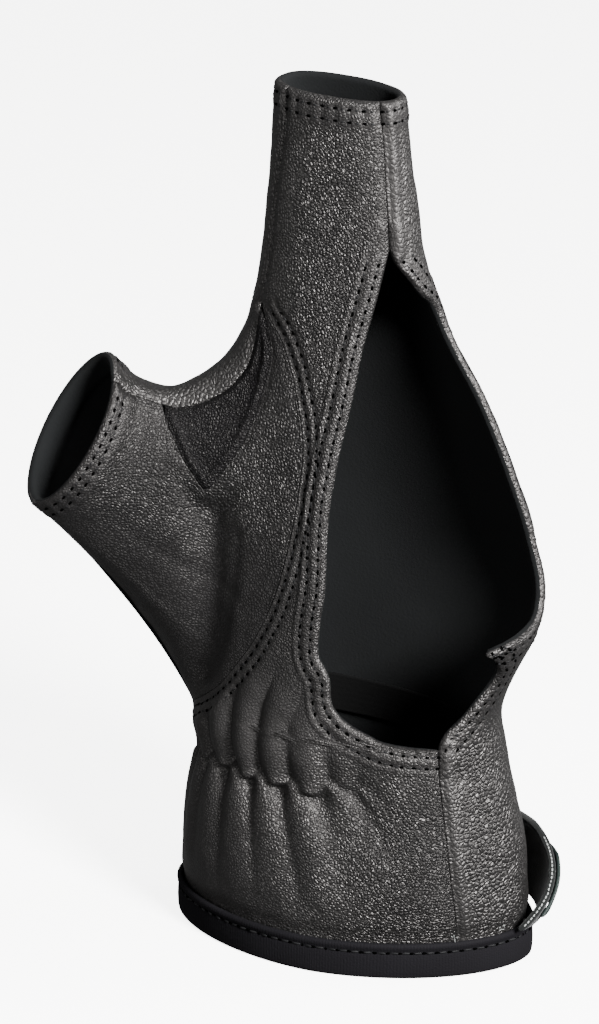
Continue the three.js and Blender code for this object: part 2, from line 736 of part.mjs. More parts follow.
// Folded tape round the cuff's edge: a U section, flat where the glove stands on it.
function cuffBinding() {
  const outerFace = bindingProud;
  const outerInside = outerFace - bindingThickness;
  const innerInside = outerInside - seamGap - leatherThickness - seamGap;
  const innerFace = innerInside - bindingThickness;
  const innerHeight = bindingHeight - bindingInnerDrop;
  const profile = [
    { offset: outerFace, z: 0 },
    { offset: outerFace, z: bindingHeight - bindingChamfer },
    { offset: outerFace - bindingChamfer, z: bindingHeight },
    { offset: outerInside, z: bindingHeight },
    { offset: outerInside, z: bindingThickness },
    { offset: innerInside, z: bindingThickness },
    { offset: innerInside, z: innerHeight },
    { offset: innerFace, z: innerHeight },
    { offset: innerFace, z: 0 },
  ];
  const positions = [];
  const faces = [];
  for (let segment = 0; segment < bindingSegments; segment += 1) {
    const angle = (360 * segment) / bindingSegments;
    for (const place of profile) positions.push(...formPoint(angle, place.z, place.offset).toArray());
    const next = (segment + 1) % bindingSegments;
    for (let index = 0; index < profile.length; index += 1) {
      const after = (index + 1) % profile.length;
      const a = segment * profile.length + index;
      const b = next * profile.length + index;
      const c = next * profile.length + after;
      const d = segment * profile.length + after;
      faces.push(a, b, c, a, c, d);
    }
  }
  const geometry = new THREE.BufferGeometry();
  geometry.setAttribute('position', new THREE.Float32BufferAttribute(positions, 3));
  geometry.setIndex(faces);
  geometry.computeVertexNormals();
  return geometry;
}

const tabFoot = bindingHeight + seamGap;

// Point of the closure tab's inner face: along runs from its front edge to its sewn end at the back,
// and up from the binding to its top edge. It stands away from the cuff most at its front.
function tabPoint(along, up, extra) {
  const frontEdge = THREE.MathUtils.lerp(tabFrontAngleLow, tabFrontAngleHigh, up);
  const angle = THREE.MathUtils.lerp(frontEdge, tabBackAngle, along);
  const z = tabFoot + tabHeight * up;
  const flare = tabFlare * Math.sin(Math.PI * Math.min(up * 0.75 + 0.08, 1)) * Math.max(1 - along, 0) ** 1.5;
  return formPoint(angle, z, tabStandOff + flare + extra);
}

function tabTopShare(along) {
  const length = radians(tabBackAngle - tabFrontAngleLow) * (cuffWidth + cuffDepth) / 4;
  const toFront = along * length;
  if (toFront >= tabCorner) return 1;
  const drop = tabCorner - Math.sqrt(tabCorner ** 2 - (tabCorner - toFront) ** 2);
  return 1 - drop / tabHeight;
}

// A plate that follows the tab: near and far are shares along it, low and high shares up it.
function tabPlate(place, inside, thickness) {
  const sheet = new Sheet();
  const columns = shares(place.columns).map((share) => {
    const along = THREE.MathUtils.lerp(place.near, place.far, share);
    const high = Math.min(place.high, tabTopShare(along) - place.margin);
    return shares(place.rows).map((rise) => {
      const up = THREE.MathUtils.lerp(place.low, high, rise);
      const point = tabPoint(along, up, inside + thickness);
      const beside = tabPoint(along + shareStep, up, inside + thickness).sub(point);
      const above = tabPoint(along, up + shareStep, inside + thickness).sub(point);
      return sheet.add(point, beside.cross(above).normalize(), thickness);
    });
  });
  sheet.joinRows(columns.reverse());
  return sheet.toGeometry(0);
}

function closureTab() {
  return tabPlate({ near: 0, far: 1, low: 0, high: 1, margin: 0, columns: 14, rows: 6 }, 0, tabThickness);
}

function tabLabel() {
  const margin = labelInset / tabHeight;
  const place = { near: 0.04, far: 0.5, low: margin, high: 0.74, margin, columns: 8, rows: 4 };
  return tabPlate(place, tabThickness + seamGap, labelThickness);
}

// Elastic band inside the back of the wrist, rising a little towards the thumb.
function wristElastic() {
  const sheet = new Sheet();
  const inside = -leatherThickness - elasticClearance;
  const columns = shares(18).map((share) => {
    const angle = THREE.MathUtils.lerp(elasticStartAngle, elasticEndAngle, share);
    const middle = elasticHeight + elasticRise * (angle - elasticStartAngle);
    return shares(2).map((rise) => {
      const z = middle + elasticWidth * (rise - 0.5);
      const normal = bodyFrame(angle, z).normal;
      return sheet.add(bodyPoint(angle, z).addScaledVector(normal, inside), normal, elasticThickness);
    });
  });
  sheet.joinRows(columns.reverse());
  return sheet.toGeometry(0);
}

function leather(color, roughness) {
  return new THREE.MeshStandardMaterial({ color, roughness, metalness: 0 });
}

const pieces = [
  { name: 'palm_panel', geometry: palmPanel(), material: leather(0x2a2a2b, 0.5) },
  { name: 'back_panel', geometry: backPanel(), material: leather(0x242425, 0.52) },
  { name: 'thumb_panel', geometry: thumbPanel(), material: leather(0x2c2c2d, 0.5) },
  { name: 'web_gusset', geometry: webGusset(), material: leather(0x313132, 0.48) },
  { name: 'cuff_binding', geometry: cuffBinding(), material: leather(0x232127, 0.8) },
  { name: 'closure_tab', geometry: closureTab(), material: leather(0x1c1f1d, 0.7) },
  { name: 'tab_label', geometry: tabLabel(), material: leather(0x3c4543, 0.35) },
  { name: 'wrist_elastic', geometry: wristElastic(), material: leather(0x141516, 0.85) },
];

const group = new THREE.Group();
for (const piece of pieces) {
  const mesh = new THREE.Mesh(piece.geometry, piece.material);
  mesh.name = piece.name;
  group.add(mesh);
}

// The origin is the middle of the glove's outline on the surface that it stands on.
const outline = new THREE.Box3().setFromObject(group);
const middle = outline.getCenter(new THREE.Vector3());
group.position.set(-middle.x, -middle.y, -outline.min.z);

export default group;
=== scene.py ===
import math

import bpy
import numpy as np
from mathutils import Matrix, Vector, bvhtree, kdtree, noise


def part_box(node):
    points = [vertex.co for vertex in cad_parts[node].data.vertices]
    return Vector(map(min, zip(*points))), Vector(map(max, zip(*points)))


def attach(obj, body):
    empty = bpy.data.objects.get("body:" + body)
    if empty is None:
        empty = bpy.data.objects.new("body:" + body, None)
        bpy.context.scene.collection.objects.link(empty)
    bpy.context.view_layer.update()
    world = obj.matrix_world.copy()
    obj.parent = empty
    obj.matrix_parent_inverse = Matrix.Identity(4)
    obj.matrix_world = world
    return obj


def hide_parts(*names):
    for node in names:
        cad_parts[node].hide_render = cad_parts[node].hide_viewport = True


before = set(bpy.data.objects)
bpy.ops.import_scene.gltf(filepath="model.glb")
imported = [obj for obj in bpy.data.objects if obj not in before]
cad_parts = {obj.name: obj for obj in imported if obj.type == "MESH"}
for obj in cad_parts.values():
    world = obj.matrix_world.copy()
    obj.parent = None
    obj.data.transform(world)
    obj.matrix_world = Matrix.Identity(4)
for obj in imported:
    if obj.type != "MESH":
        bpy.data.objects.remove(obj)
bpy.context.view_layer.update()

bl_info = {
    "name": "Bow Hand Glove",
    "version": (1, 0, 0),
    "blender": (4, 5, 0),
    "location": "View3D > Sidebar > Glove",
    "description": "A leather bow-hand glove with pebbled panels, gathers, stitched hems and a closure flap",
    "category": "Add Mesh",
}

# Lengths in the tables and functions below are millimetres, and angles are degrees counted round the hand
# from the little-finger side (+X) towards the back (+Y). A mesh is turned to metres when it is made.
MM = 0.001

HEIGHT = 183.0
CUFF = (79.2, 49.0)
WRIST = (69.2, 40.8)
PALM = (73.4, 43.0)
FINGER = (28.2, 15.2)

# Cross sections: share of the height, zone size, then width, depth, side and back shares of the zone's
# size, the exponent of the rounded section and its turn.
SECTIONS = [
    (0.000, CUFF, 1.000, 1.000, 0.009, -0.027, 1.80, 6),
    (0.066, CUFF, 0.987, 0.988, 0.008, -0.024, 1.85, 6),
    (0.142, CUFF, 0.955, 0.939, 0.010, -0.020, 1.95, 4.5),
    (0.208, CUFF, 0.907, 0.878, 0.001, -0.014, 2.05, 3),
    (0.251, WRIST, 1.026, 1.015, -0.019, -0.012, 2.10, 1.5),
    (0.295, WRIST, 1.000, 1.000, -0.022, -0.005, 2.15, 0),
    (0.339, WRIST, 1.009, 1.020, 0.007, 0.002, 2.20, 0),
    (0.383, PALM, 0.986, 0.991, 0.044, 0.012, 2.20, 0),
    (0.437, PALM, 1.000, 1.000, 0.067, 0.023, 2.20, 0),
    (0.503, PALM, 0.948, 0.944, 0.057, 0.035, 2.20, 0),
    (0.579, PALM, 0.856, 0.837, 0.033, 0.047, 2.20, 0),
    (0.656, PALM, 0.749, 0.698, 0.001, 0.058, 2.20, 0),
    (0.732, PALM, 0.608, 0.567, -0.042, 0.070, 2.20, 0),
    (0.803, FINGER, 1.298, 1.355, -0.156, 0.197, 2.30, 0),
    (0.874, FINGER, 1.163, 1.184, -0.170, 0.197, 2.30, 0),
    (0.940, FINGER, 1.071, 1.079, -0.181, 0.197, 2.30, 0),
    (1.000, FINGER, 1.000, 1.000, -0.191, 0.197, 2.30, 0),
]

# Seams and edges: share of the height, then the angle.
CUFF_THUMB_SEAM = [(0.000, 172), (0.110, 172), (0.208, 182), (0.260, 198)]
ARC_SEAM = [
    (0.260, 198), (0.279, 215), (0.303, 228.5), (0.331, 236), (0.361, 241.5), (0.407, 247), (0.484, 253.5),
    (0.552, 257.5), (0.620, 259), (0.661, 256), (0.699, 251), (0.727, 243), (0.743, 233), (0.757, 222),
]
THUMB_BACK_LINE = [
    (0.260, 198), (0.295, 191), (0.328, 184), (0.366, 178), (0.407, 172), (0.484, 162), (0.552, 154),
    (0.620, 151), (0.661, 153), (0.699, 160), (0.727, 172), (0.743, 188), (0.757, 222),
]
FINGER_THUMB_SEAM = [(0.757, 222), (0.825, 224), (0.885, 226), (0.945, 231), (1.000, 232)]
CUFF_OUTER_SEAM = [(0.000, 320), (0.055, 319.5), (0.145, 317.5), (0.238, 319.5), (0.273, 322)]
PALM_OPENING = [
    (0.273, 322), (0.276, 308), (0.279, 301), (0.287, 293.5), (0.299, 285), (0.311, 280), (0.325, 277),
    (0.350, 274), (0.377, 268.5), (0.404, 267), (0.459, 267.5), (0.560, 269.5), (0.615, 273), (0.672, 280),
    (0.738, 293), (0.814, 315), (0.836, 322),
]
BACK_OPENING = [
    (0.273, 322), (0.279, 323), (0.292, 327), (0.306, 334.5), (0.325, 341), (0.347, 347), (0.366, 345),
    (0.383, 338), (0.396, 333), (0.402, 346), (0.410, 362), (0.423, 373), (0.442, 377), (0.560, 377),
    (0.700, 377), (0.754, 375), (0.768, 368), (0.779, 357), (0.801, 341), (0.822, 326), (0.836, 322),
]
FINGER_OUTER_SEAM = [(0.836, 322), (0.891, 322.5), (0.948, 324), (1.000, 322.5)]

# Thumb tube: its rim's middle, width, depth, turn and lift.
THUMB_RIM = (-53.4, -25.0, 111.6)
THUMB_WIDTH = 35.8
THUMB_DEPTH = 20.6
THUMB_TURN = 62.0
THUMB_LIFT = 33.0
THUMB_GROOVE_ANGLE = 150.0
# Rough lengths over which the meshes' columns and rows are spaced.
THUMB_LENGTH = 62
THUMB_GIRTH = 70
GUSSET_BREADTH = 18
TAB_LENGTH = 45
# Share up the thumb's base, leaving angles in front and behind, lift out of the hand, reaches, rise.
THUMB_BLEND = np.array([
    (0.00, 90, 90, 27, 0.30, 0.30, 0.33, 12),
    (0.06, 62, 66, 22, 0.31, 0.31, 0.33, 10),
    (0.14, 36, 40, 13, 0.33, 0.33, 0.33, 7),
    (0.30, 12, 14, 0, 0.37, 0.37, 0.33, 1),
    (0.50, 0, 0, 0, 0.40, 0.40, 0.33, 0),
    (0.75, -14, -25, 0, 0.43, 0.48, 0.34, 12),
    (0.90, -50, -60, 0, 0.52, 0.56, 0.38, 29),
    (1.00, -88, -92, 0, 0.60, 0.60, 0.42, 42),
])
# Seams on the front of the thumb: share of the way out to the rim, share up the thumb's base.
THUMB_GROOVE = np.array([
    (0.00, 1.000), (0.06, 0.996), (0.13, 0.978), (0.20, 0.958), (0.30, 0.945), (0.45, 0.935), (0.58, 0.932),
    (0.66, 0.950), (0.78, 0.965), (0.90, 0.930), (1.00, 0.905),
])
GUSSET_SEAM = np.array([
    (0.00, 1.000), (0.02, 0.978), (0.06, 0.945), (0.13, 0.885), (0.20, 0.806), (0.26, 0.735), (0.34, 0.650),
    (0.395, 0.576), (0.42, 0.566), (0.45, 0.582), (0.54, 0.650), (0.60, 0.722), (0.64, 0.790), (0.66, 0.930),
])
GUSSET_START = 0.02
GUSSET_END = 0.655
# The soft valley that runs from the gusset's tip to the foot of the thumb, and a crease beside it: share up
# the thumb's base, then share of the way out to the rim. Each has a spread and a depth.
VALLEY = np.array([
    (0.56, 0.40), (0.43, 0.345), (0.317, 0.285), (0.206, 0.215), (0.131, 0.150), (0.070, 0.085),
])
VALLEY_SPREAD, VALLEY_DEPTH = 4.6, 3.0
CREASE = np.array([(0.46, 0.235), (0.36, 0.205), (0.26, 0.165), (0.16, 0.105)])
CREASE_SPREAD, CREASE_DEPTH = 1.6, 0.6

# Gathers over the wrist's elastic. Below its line the leather stands in pointed ridges, and above it hangs
# over the line in round pockets between them: angle, height of the tip, how far it stands out, half its
# width in degrees, how slowly it fades and how far it leans in degrees a millimetre.
RIDGES = [
    (200, 39.5, 1.4, 7.5, 15, -0.10), (213, 41, 2.0, 7.0, 17, -0.10), (225.5, 42, 2.5, 7.0, 19, -0.08),
    (239.5, 42, 2.8, 7.2, 20, 0.00), (251, 42, 2.8, 6.6, 19, 0.18), (263, 42, 2.7, 6.6, 15, 0.42),
    (276, 42.5, 2.2, 6.8, 10, 0.80), (287, 41.5, 0.9, 5.5, 7, 1.00),
]
POCKETS = [
    (206, 38, 1.4, 7.0, 9, 0.00), (219, 37.5, 2.1, 7.2, 11, 0.00), (232, 38.2, 2.6, 7.2, 12, 0.10),
    (245, 37.8, 2.8, 6.8, 15, 0.20), (257, 38.0, 2.9, 6.8, 17, 0.25), (269.5, 37.4, 2.8, 7.2, 13, 0.10),
    (282, 39.5, 1.2, 5.6, 7, 0.00),
]
FOLD_REACH = 24.0
RIDGE_START = 2.4
POCKET_START = 1.9
# The elastic's line, where the leather is drawn in: its height, how far it spreads and its depth.
GATHER_LINE = 39.8
GATHER_SPREAD = 5.0
GATHER_DEPTH = 1.5
# Gathers and dents die away over this stretch below the thumb's base seam.
THUMB_CLEARANCE = (0.4, 6.5)
# Broad dents and swellings: angle, height, how far in, across in degrees, up and down in millimetres.
DENTS = [
    (290, 32, 1.6, 13, 7), (302, 16, -0.9, 15, 11), (214, 22, -0.7, 16, 12), (246, 17, -0.5, 12, 10),
    (262, 66, 0.5, 7, 16), (335, 36, 0.6, 9, 14), (60, 38, 0.8, 40, 7), (130, 38, 0.9, 34, 7),
]

# The finger's rim stands this much higher at this angle, and the tilt starts at this height.
RIM_TILT = 1.9
RIM_HIGH = 150
RIM_TILT_START = 160

# Leather
WALL = 1.2
HEM_EXTRA = 0.9
HEM_WIDTH = 5.5
HEM_RELIEF = 0.32
EDGE_ROUNDING = 0.4
# Every panel's edge goes this far past its seam, so that no light falls through.
SEAM_OVERLAP = 0.06
# The thumb's edge goes under the palm's by this much more, beside its lowest point.
TUCK_DEPTH = 0.8
TUCK_SPREAD = 1.2
# Two seams are pressed open: a smooth raised strip on each side of a groove.
WELT_HEIGHT = 0.34
WELT_PLACE = 2.0
WELT_FOOT_DEPTH = 0.2
WELT_FOOT_PLACE = 3.7
WELT_GROOVE = 0.25
# Slack of the leather, as a size and a height: broad waves and short ones.
BROAD_SLACK = (9, 0.22)
SHORT_SLACK = (3.6, 0.12)

# Stitches: their pitch, the furrow that a row pulls into the leather and the dimple at each hole.
STITCH_PITCH = 2.4
STITCH_FURROW = 0.1
HOLE_DIMPLE = 0.34
# A disc of painted shade lies over each needle hole: its sides, how oval it is, and the heights of its rim
# and top above the leather and of its bottom below.
HOLE_SIDES = 8
HOLE_OVAL = 0.5
HOLE_RIM = 0.08
HOLE_TOP = 0.11
HOLE_DEPTH = 0.3
THREAD_SIDES = 6
# Share along a stitch, share of its width.
THREAD_RINGS = [(-0.5, 0.25), (-0.42, 0.7), (-0.18, 1.0), (0.18, 1.0), (0.42, 0.7), (0.5, 0.25)]
# Distances of the two rows from the palm's opening, from the thumb's seam and from the finger's rim, and
# their shares of the way out along the thumb.
OPENING_ROWS = (1.4, 3.9)
THUMB_SEAM_ROWS = (1.3, 3.5)
RIM_ROWS = (2.0, 4.5)
THUMB_RIM_ROWS = (0.972, 0.93)

# Cuff binding
BINDING_HEIGHT = 8.0
BINDING_THICKNESS = 1.0
BINDING_PROUD = 0.6
BINDING_GAP = 0.3
BINDING_RIBS = 340
BINDING_RIB_HEIGHT = 0.05
BINDING_ROW = 6.0

# Closure tab
TAB_FOOT = 8.3
TAB_HEIGHT = 17.5
TAB_THICKNESS = 1.6
TAB_FLARE = 4.2
TAB_STAND_OFF = 0.5
TAB_BACK = 78.0
TAB_FRONT_LOW = -16.0
TAB_FRONT_HIGH = 20.0
TAB_CORNER = 8.0
LABEL_MARGIN = 2.4
LABEL_THICKNESS = 0.8
LABEL_GAP = 0.3

# Wrist elastic: first and last angle, height, rise in millimetres a degree, width, thickness and ribs.
ELASTIC_FROM = 36
ELASTIC_TO = 160
ELASTIC_HEIGHT = 42.5
ELASTIC_RISE = 0.035
ELASTIC_WIDTH = 8.0
ELASTIC_THICKNESS = 0.9
ELASTIC_GAP = 0.5
ELASTIC_RIBS = 6

# Loose thread ends: angle, height, how many and how long.
THREAD_ENDS = ((317.5, 9.0, 4, 0.9), (338, 9.0, 4, 0.8), (340, 9.6, 2, 1.4), (-6, 8.9, 3, 1.2))
THREAD_END_RADIUS = 0.06

# The photo's camera: the point of the glove that it looks at, its angles, its distance in metres, and its
# focal length in pixels of a picture this many pixels high.
CAMERA_TARGET = (-10.242, -5.446, 94.0)
CAMERA_AZIMUTH = 28
CAMERA_ELEVATION = 20
CAMERA_DISTANCE = 0.9
FOCAL_PIXELS = 4320
PICTURE_PIXELS = 1024
SENSOR_WIDTH = 36
# The lights look at this point, in metres.
LIGHTS_TARGET = (0, 0, 0.09)


def smooth_read(table, column, at):
    """Reads a column of a table at places between its rows, along a smooth curve through them."""
    xs = np.array([row[0] for row in table], float)
    ys = np.array([row[column] for row in table], float)
    steps = np.diff(xs)
    slopes = np.diff(ys) / steps
    tangents = np.empty(len(xs))
    tangents[0] = slopes[0]
    tangents[-1] = slopes[-1]
    tangents[1:-1] = (slopes[:-1] * steps[1:] + slopes[1:] * steps[:-1]) / (steps[:-1] + steps[1:])
    row = np.clip(np.searchsorted(xs, at) - 1, 0, len(xs) - 2)
    span = steps[row]
    t = np.clip((at - xs[row]) / span, 0, 1)
    start = (2 * t**3 - 3 * t**2 + 1) * ys[row] + (t**3 - 2 * t**2 + t) * span * tangents[row]
    return start + (3 * t**2 - 2 * t**3) * ys[row + 1] + (t**3 - t**2) * span * tangents[row + 1]


def smoothstep(value, low, high):
    """Rises softly from 0 at low to 1 at high."""
    t = np.clip((value - low) / (high - low), 0, 1)
    return t * t * (3 - 2 * t)


def bell(distance, width):
    """Falls softly from 1 at no distance to 0 well past a width."""
    return np.exp(-((distance / width) ** 2))


def unit(vectors):
    """Vectors of the same direction and a length of 1."""
    return vectors / np.maximum(np.linalg.norm(vectors, axis=-1, keepdims=True), 1e-9)


# The same rows in millimetres: share of the height, half width, half depth, side, back, exponent and turn.
SECTION_CURVES = [
    (height, width * zone[0] / 2, depth * zone[1] / 2, side * zone[0], back * zone[1], corner, turn)
    for height, zone, width, depth, side, back, corner, turn in SECTIONS
]


def form_point(angle, z, offset):
    """Points of the plain hand form, moved outwards by offset."""
    angle, z, offset = np.broadcast_arrays(np.asarray(angle, float), z, offset)
    half_width, half_depth, side, back, corner, turn = (
        smooth_read(SECTION_CURVES, column, z / HEIGHT) for column in range(1, 7)
    )
    cosine = np.cos(np.radians(angle))
    sine = np.sin(np.radians(angle))
    power = 2 / corner
    out_x = cosine / half_width
    out_y = sine / half_depth
    length = np.hypot(out_x, out_y)
    x = half_width * np.sign(cosine) * np.abs(cosine) ** power + offset * out_x / length
    y = half_depth * np.sign(sine) * np.abs(sine) ** power + offset * out_y / length
    twist = np.radians(turn)
    turned_x = x * np.cos(twist) - y * np.sin(twist) + side
    turned_y = x * np.sin(twist) + y * np.cos(twist) + back
    return np.stack([turned_x, turned_y, z], -1)


def seam_foot_table():
    """The thumb's base seam, from the back round its lowest point to the front: angles and heights."""
    behind = np.linspace(0.62, THUMB_BACK_LINE[0][0], 80)
    before = np.linspace(ARC_SEAM[0][0], 0.62, 80)
    angles = np.concatenate([smooth_read(THUMB_BACK_LINE, 1, behind), smooth_read(ARC_SEAM, 1, before)])
    return np.maximum.accumulate(angles), np.concatenate([behind, before]) * HEIGHT


SEAM_FOOT = seam_foot_table()


def seam_foot(angle):
    """Height of the thumb's base seam above each angle, under which the wrist's folds end."""
    return np.interp(angle, *SEAM_FOOT)


def fold_offset(angle, z):
    """How far gathers, pockets and dents push the leather out of the plain form."""
    angle = np.mod(angle, 360)
    offset = np.zeros(np.broadcast(angle, z).shape)
    for middle, tip, depth, half, fade, lean in RIDGES:
        below = np.maximum(tip - z, 0)
        width = half * np.sqrt(np.clip(below / 7, 0.001, 1)) * (1 + 0.01 * below)
        from_crest = (angle - middle - lean * np.minimum(below, FOLD_REACH)) / width
        start = smoothstep(tip - z, 0, RIDGE_START)
        ridge = depth * np.exp(-below / fade) * start * np.clip(1 - from_crest**2, 0, 1)
        offset = np.maximum(offset, ridge)
    for middle, foot, depth, half, fade, lean in POCKETS:
        above = np.maximum(z - foot, 0)
        width = half * np.sqrt(np.clip(1 - (1 - np.clip(above / 6, 0.001, 1)) ** 2, 0.001, 1))
        from_crest = (angle - middle - lean * np.minimum(above, FOLD_REACH)) / width
        ends = (1 - smoothstep(above, fade, 1.9 * fade)) * smoothstep(z - foot, 0, POCKET_START)
        pocket = depth * np.exp(-0.5 * above / fade) * ends * np.clip(1 - from_crest**2, 0, 1)
        offset = np.maximum(offset, pocket)
    drawn_in = bell(z - GATHER_LINE, GATHER_SPREAD) * smoothstep(angle, 186, 204)
    offset = offset - GATHER_DEPTH * (drawn_in * (1 - smoothstep(angle, 284, 300)))
    for middle, height, depth, across, tall in DENTS:
        offset = offset - depth * bell(angle - middle, across) * bell(z - height, tall)
    beside_thumb = smoothstep(seam_foot(angle) - z, *THUMB_CLEARANCE)
    return offset * beside_thumb * smoothstep(z, BINDING_HEIGHT, BINDING_HEIGHT * 2.4)


def body_point(angle, z):
    """Points of the gathered body, drawn in under the binding and tilted at the finger's rim."""
    inset = BINDING_THICKNESS + BINDING_GAP - BINDING_PROUD
    inset = inset * (1 - smoothstep(z, BINDING_HEIGHT, BINDING_HEIGHT * 1.5))
    points = form_point(angle, z, fold_offset(angle, z) - inset)
    towards_high = 0.5 + 0.5 * np.cos(np.radians(angle - RIM_HIGH))
    points[..., 2] += RIM_TILT * smoothstep(z, RIM_TILT_START, HEIGHT) * towards_high
    return points


def body_frame(angle, z):
    """Directions across, up and out of the gathered body at each point."""
    across = unit(body_point(angle + 0.5, z) - body_point(angle - 0.5, z))
    up = unit(body_point(angle, z + 0.5) - body_point(angle, z - 0.5))
    return across, up, unit(np.cross(across, up))


def plain_frame(angle, z):
    """Directions across, up and out of the plain hand form at each point."""
    across = unit(form_point(angle + 0.5, z, 0) - form_point(angle - 0.5, z, 0))
    up = unit(form_point(angle, z + 0.5, 0) - form_point(angle, z - 0.5, 0))
    return across, up, unit(np.cross(across, up))


def direction(turn, lift):
    """Unit vector out to the thumb's side, turned towards the palm and lifted, in degrees."""
    turn, lift = math.radians(turn), math.radians(lift)
    return np.array([-math.cos(turn) * math.cos(lift), -math.sin(turn) * math.cos(lift), math.sin(lift)])


THUMB_AXIS = direction(THUMB_TURN, THUMB_LIFT)
THUMB_DOWN = unit(np.array([0, 0, -1.0]) + THUMB_AXIS * THUMB_AXIS[2])
THUMB_FRONT = unit(np.cross(THUMB_AXIS, THUMB_DOWN))
LOOP_BOTTOM = ARC_SEAM[0][0] * HEIGHT
LOOP_TOP = ARC_SEAM[-1][0] * HEIGHT


def thumb_point(is_front, up, out):
    """Points of the thumb tube: up runs from the lower seam to the crotch, out from the hand to the rim."""
    up, out = np.broadcast_arrays(np.asarray(up, float), np.asarray(out, float))
    z = LOOP_BOTTOM + (LOOP_TOP - LOOP_BOTTOM) * up
    angle = smooth_read(ARC_SEAM if is_front else THUMB_BACK_LINE, 1, z / HEIGHT)
    across, rise_way, normal = plain_frame(angle, z)
    leave, lift_out, reach_share, end_share, rise = (
        np.interp(up, THUMB_BLEND[:, 0], THUMB_BLEND[:, column])[..., None]
        for column in ((1 if is_front else 2), 3, (4 if is_front else 5), 6, 7)
    )
    leave, lift_out, rise = np.radians(leave), np.radians(lift_out), np.radians(rise)
    start = form_point(angle, z, 0)
    away = unit(across * (-1 if is_front else 1) * np.cos(leave) + rise_way * np.sin(leave))
    away = away * np.cos(lift_out) + normal * np.sin(lift_out)
    full_turn = THUMB_GROOVE_ANGLE if is_front else THUMB_GROOVE_ANGLE - 360
    rim_angle = np.radians(full_turn * up)[..., None]
    end = np.array(THUMB_RIM) + THUMB_DOWN * THUMB_WIDTH / 2 * np.cos(rim_angle)
    end = end + THUMB_FRONT * THUMB_DEPTH / 2 * np.sin(rim_angle)
    arrive = THUMB_AXIS * np.cos(rise) - THUMB_DOWN * np.sin(rise)
    reach = np.linalg.norm(end - start, axis=-1, keepdims=True)
    first = start + away * reach * reach_share
    second = end - arrive * reach * end_share
    t = out[..., None]
    return (1 - t) ** 3 * start + 3 * (1 - t) ** 2 * t * first + 3 * (1 - t) * t**2 * second + t**3 * end


def cad_shift():
    """Where the frame has put the glove's own axes: the middle of the cuff binding tells it."""
    low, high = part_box("cuff_binding")
    angles = np.arange(44) * 360 / 44
    ring = np.concatenate([form_point(angles, z, BINDING_PROUD) for z in (0.0, BINDING_HEIGHT - 0.5)])
    middle = (ring.min(0) + ring.max(0)) / 2
    centre = np.array((low + high) / 2) / MM
    return np.array([centre[0] - middle[0], centre[1] - middle[1], 0.0])


SHIFT = cad_shift()


def zone(parts, z):
    """Angle of a boundary made of several seam tables, at each height."""
    result = np.zeros(len(z))
    for part in parts:
        inside = (z / HEIGHT >= part[0][0] - 1e-6) & (z / HEIGHT <= part[-1][0] + 1e-6)
        result[inside] = smooth_read(part, 1, z[inside] / HEIGHT)
    return result


def leather_rows():
    """Heights of the mesh's rows, closest over the gathers and near the finger's rim."""
    stops = [(1.3, 0.9), (18, 0.5), (LOOP_BOTTOM, 0.45), (64, 0.75), (80, 1.0), (LOOP_TOP, 0.8), (178, 0.8)]
    stops += [(181.2, 0.35), (HEIGHT, 0.35)]
    rows = [stops[0][0]]
    for (low, spacing), (high, _) in zip(stops, stops[1:]):
        count = max(round((high - low) / spacing), 1)
        rows += [low + (high - low) * step / count for step in range(1, count + 1)]
    return np.array(rows)


ROWS = leather_rows()
EDGE_STEPS = np.array([0.0, 0.2, 0.45, 0.8, 1.3])
# Rows of the strip over the crotch, closer beside its seam.
STRIP_SHARES = np.array([0, 0.2, 0.4, 0.55, 0.7, 0.82, 0.92, 1])


def edge_shares(length, count):
    """Shares across a strip of a length, closely spaced beside both of its edges."""
    near = np.minimum(EDGE_STEPS / length, 0.2 * EDGE_STEPS / EDGE_STEPS[-1])
    middle = np.linspace(near[-1], 1 - near[-1], count - 2 * len(EDGE_STEPS) + 2)[1:-1]
    return np.concatenate([near, middle, 1 - near[::-1]])


def body_grid(from_angles, to_angles, count):
    """Grid of body points between two boundaries, one line of points for each row."""
    z = np.repeat(ROWS[:, None], count, 1)
    lengths = [
        np.linalg.norm(form_point(b, r, 0) - form_point((a + b) / 2, r, 0))
        + np.linalg.norm(form_point((a + b) / 2, r, 0) - form_point(a, r, 0))
        for a, b, r in zip(from_angles, to_angles, ROWS)
    ]
    shares = np.stack([edge_shares(max(length, 1), count) for length in lengths])
    angle = from_angles[:, None] + (to_angles - from_angles)[:, None] * shares
    return body_point(angle, z), angle, z


def grid_quads(rows, columns, start=0, flip=False):
    """Faces between the points of a grid, counted from a start."""
    index = np.arange(rows * columns).reshape(rows, columns) + start
    quads = np.stack([index[:-1, :-1], index[:-1, 1:], index[1:, 1:], index[1:, :-1]], -1).reshape(-1, 4)
    return quads[:, ::-1] if flip else quads


def merge(points, quads, extra):
    """Joins points that lie together and drops the faces that this closes up."""
    keys = np.round(points / 0.02).astype(np.int64)
    _, first, back = np.unique(keys, axis=0, return_index=True, return_inverse=True)
    quads = back.reshape(-1)[quads]
    same = (quads == np.roll(quads, -1, 1)).sum(1)
    return points[first], quads[same < 2], extra[first]


def vertex_normals(points, quads):
    """Direction out of the surface at each point."""
    a, b, c, d = (points[quads[:, i]] for i in range(4))
    face = np.cross(c - a, d - b)
    normals = np.zeros_like(points)
    for i in range(4):
        np.add.at(normals, quads[:, i], face)
    return unit(normals)


def open_edges(quads):
    """Edges used by one face only, in that face's direction."""
    edges = np.concatenate([np.stack([quads[:, i], quads[:, (i + 1) % 4]], 1) for i in range(4)])
    edges = edges[edges[:, 0] != edges[:, 1]]
    code = np.sort(edges, 1) @ np.array([quads.max() + 1, 1])
    _, first, counts = np.unique(code, return_index=True, return_counts=True)
    return edges[first[counts == 1]]


def tree_of(points):
    """A tree that finds the nearest of some points."""
    tree = kdtree.KDTree(len(points))
    for index, point in enumerate(points):
        tree.insert(point, index)
    tree.balance()
    return tree


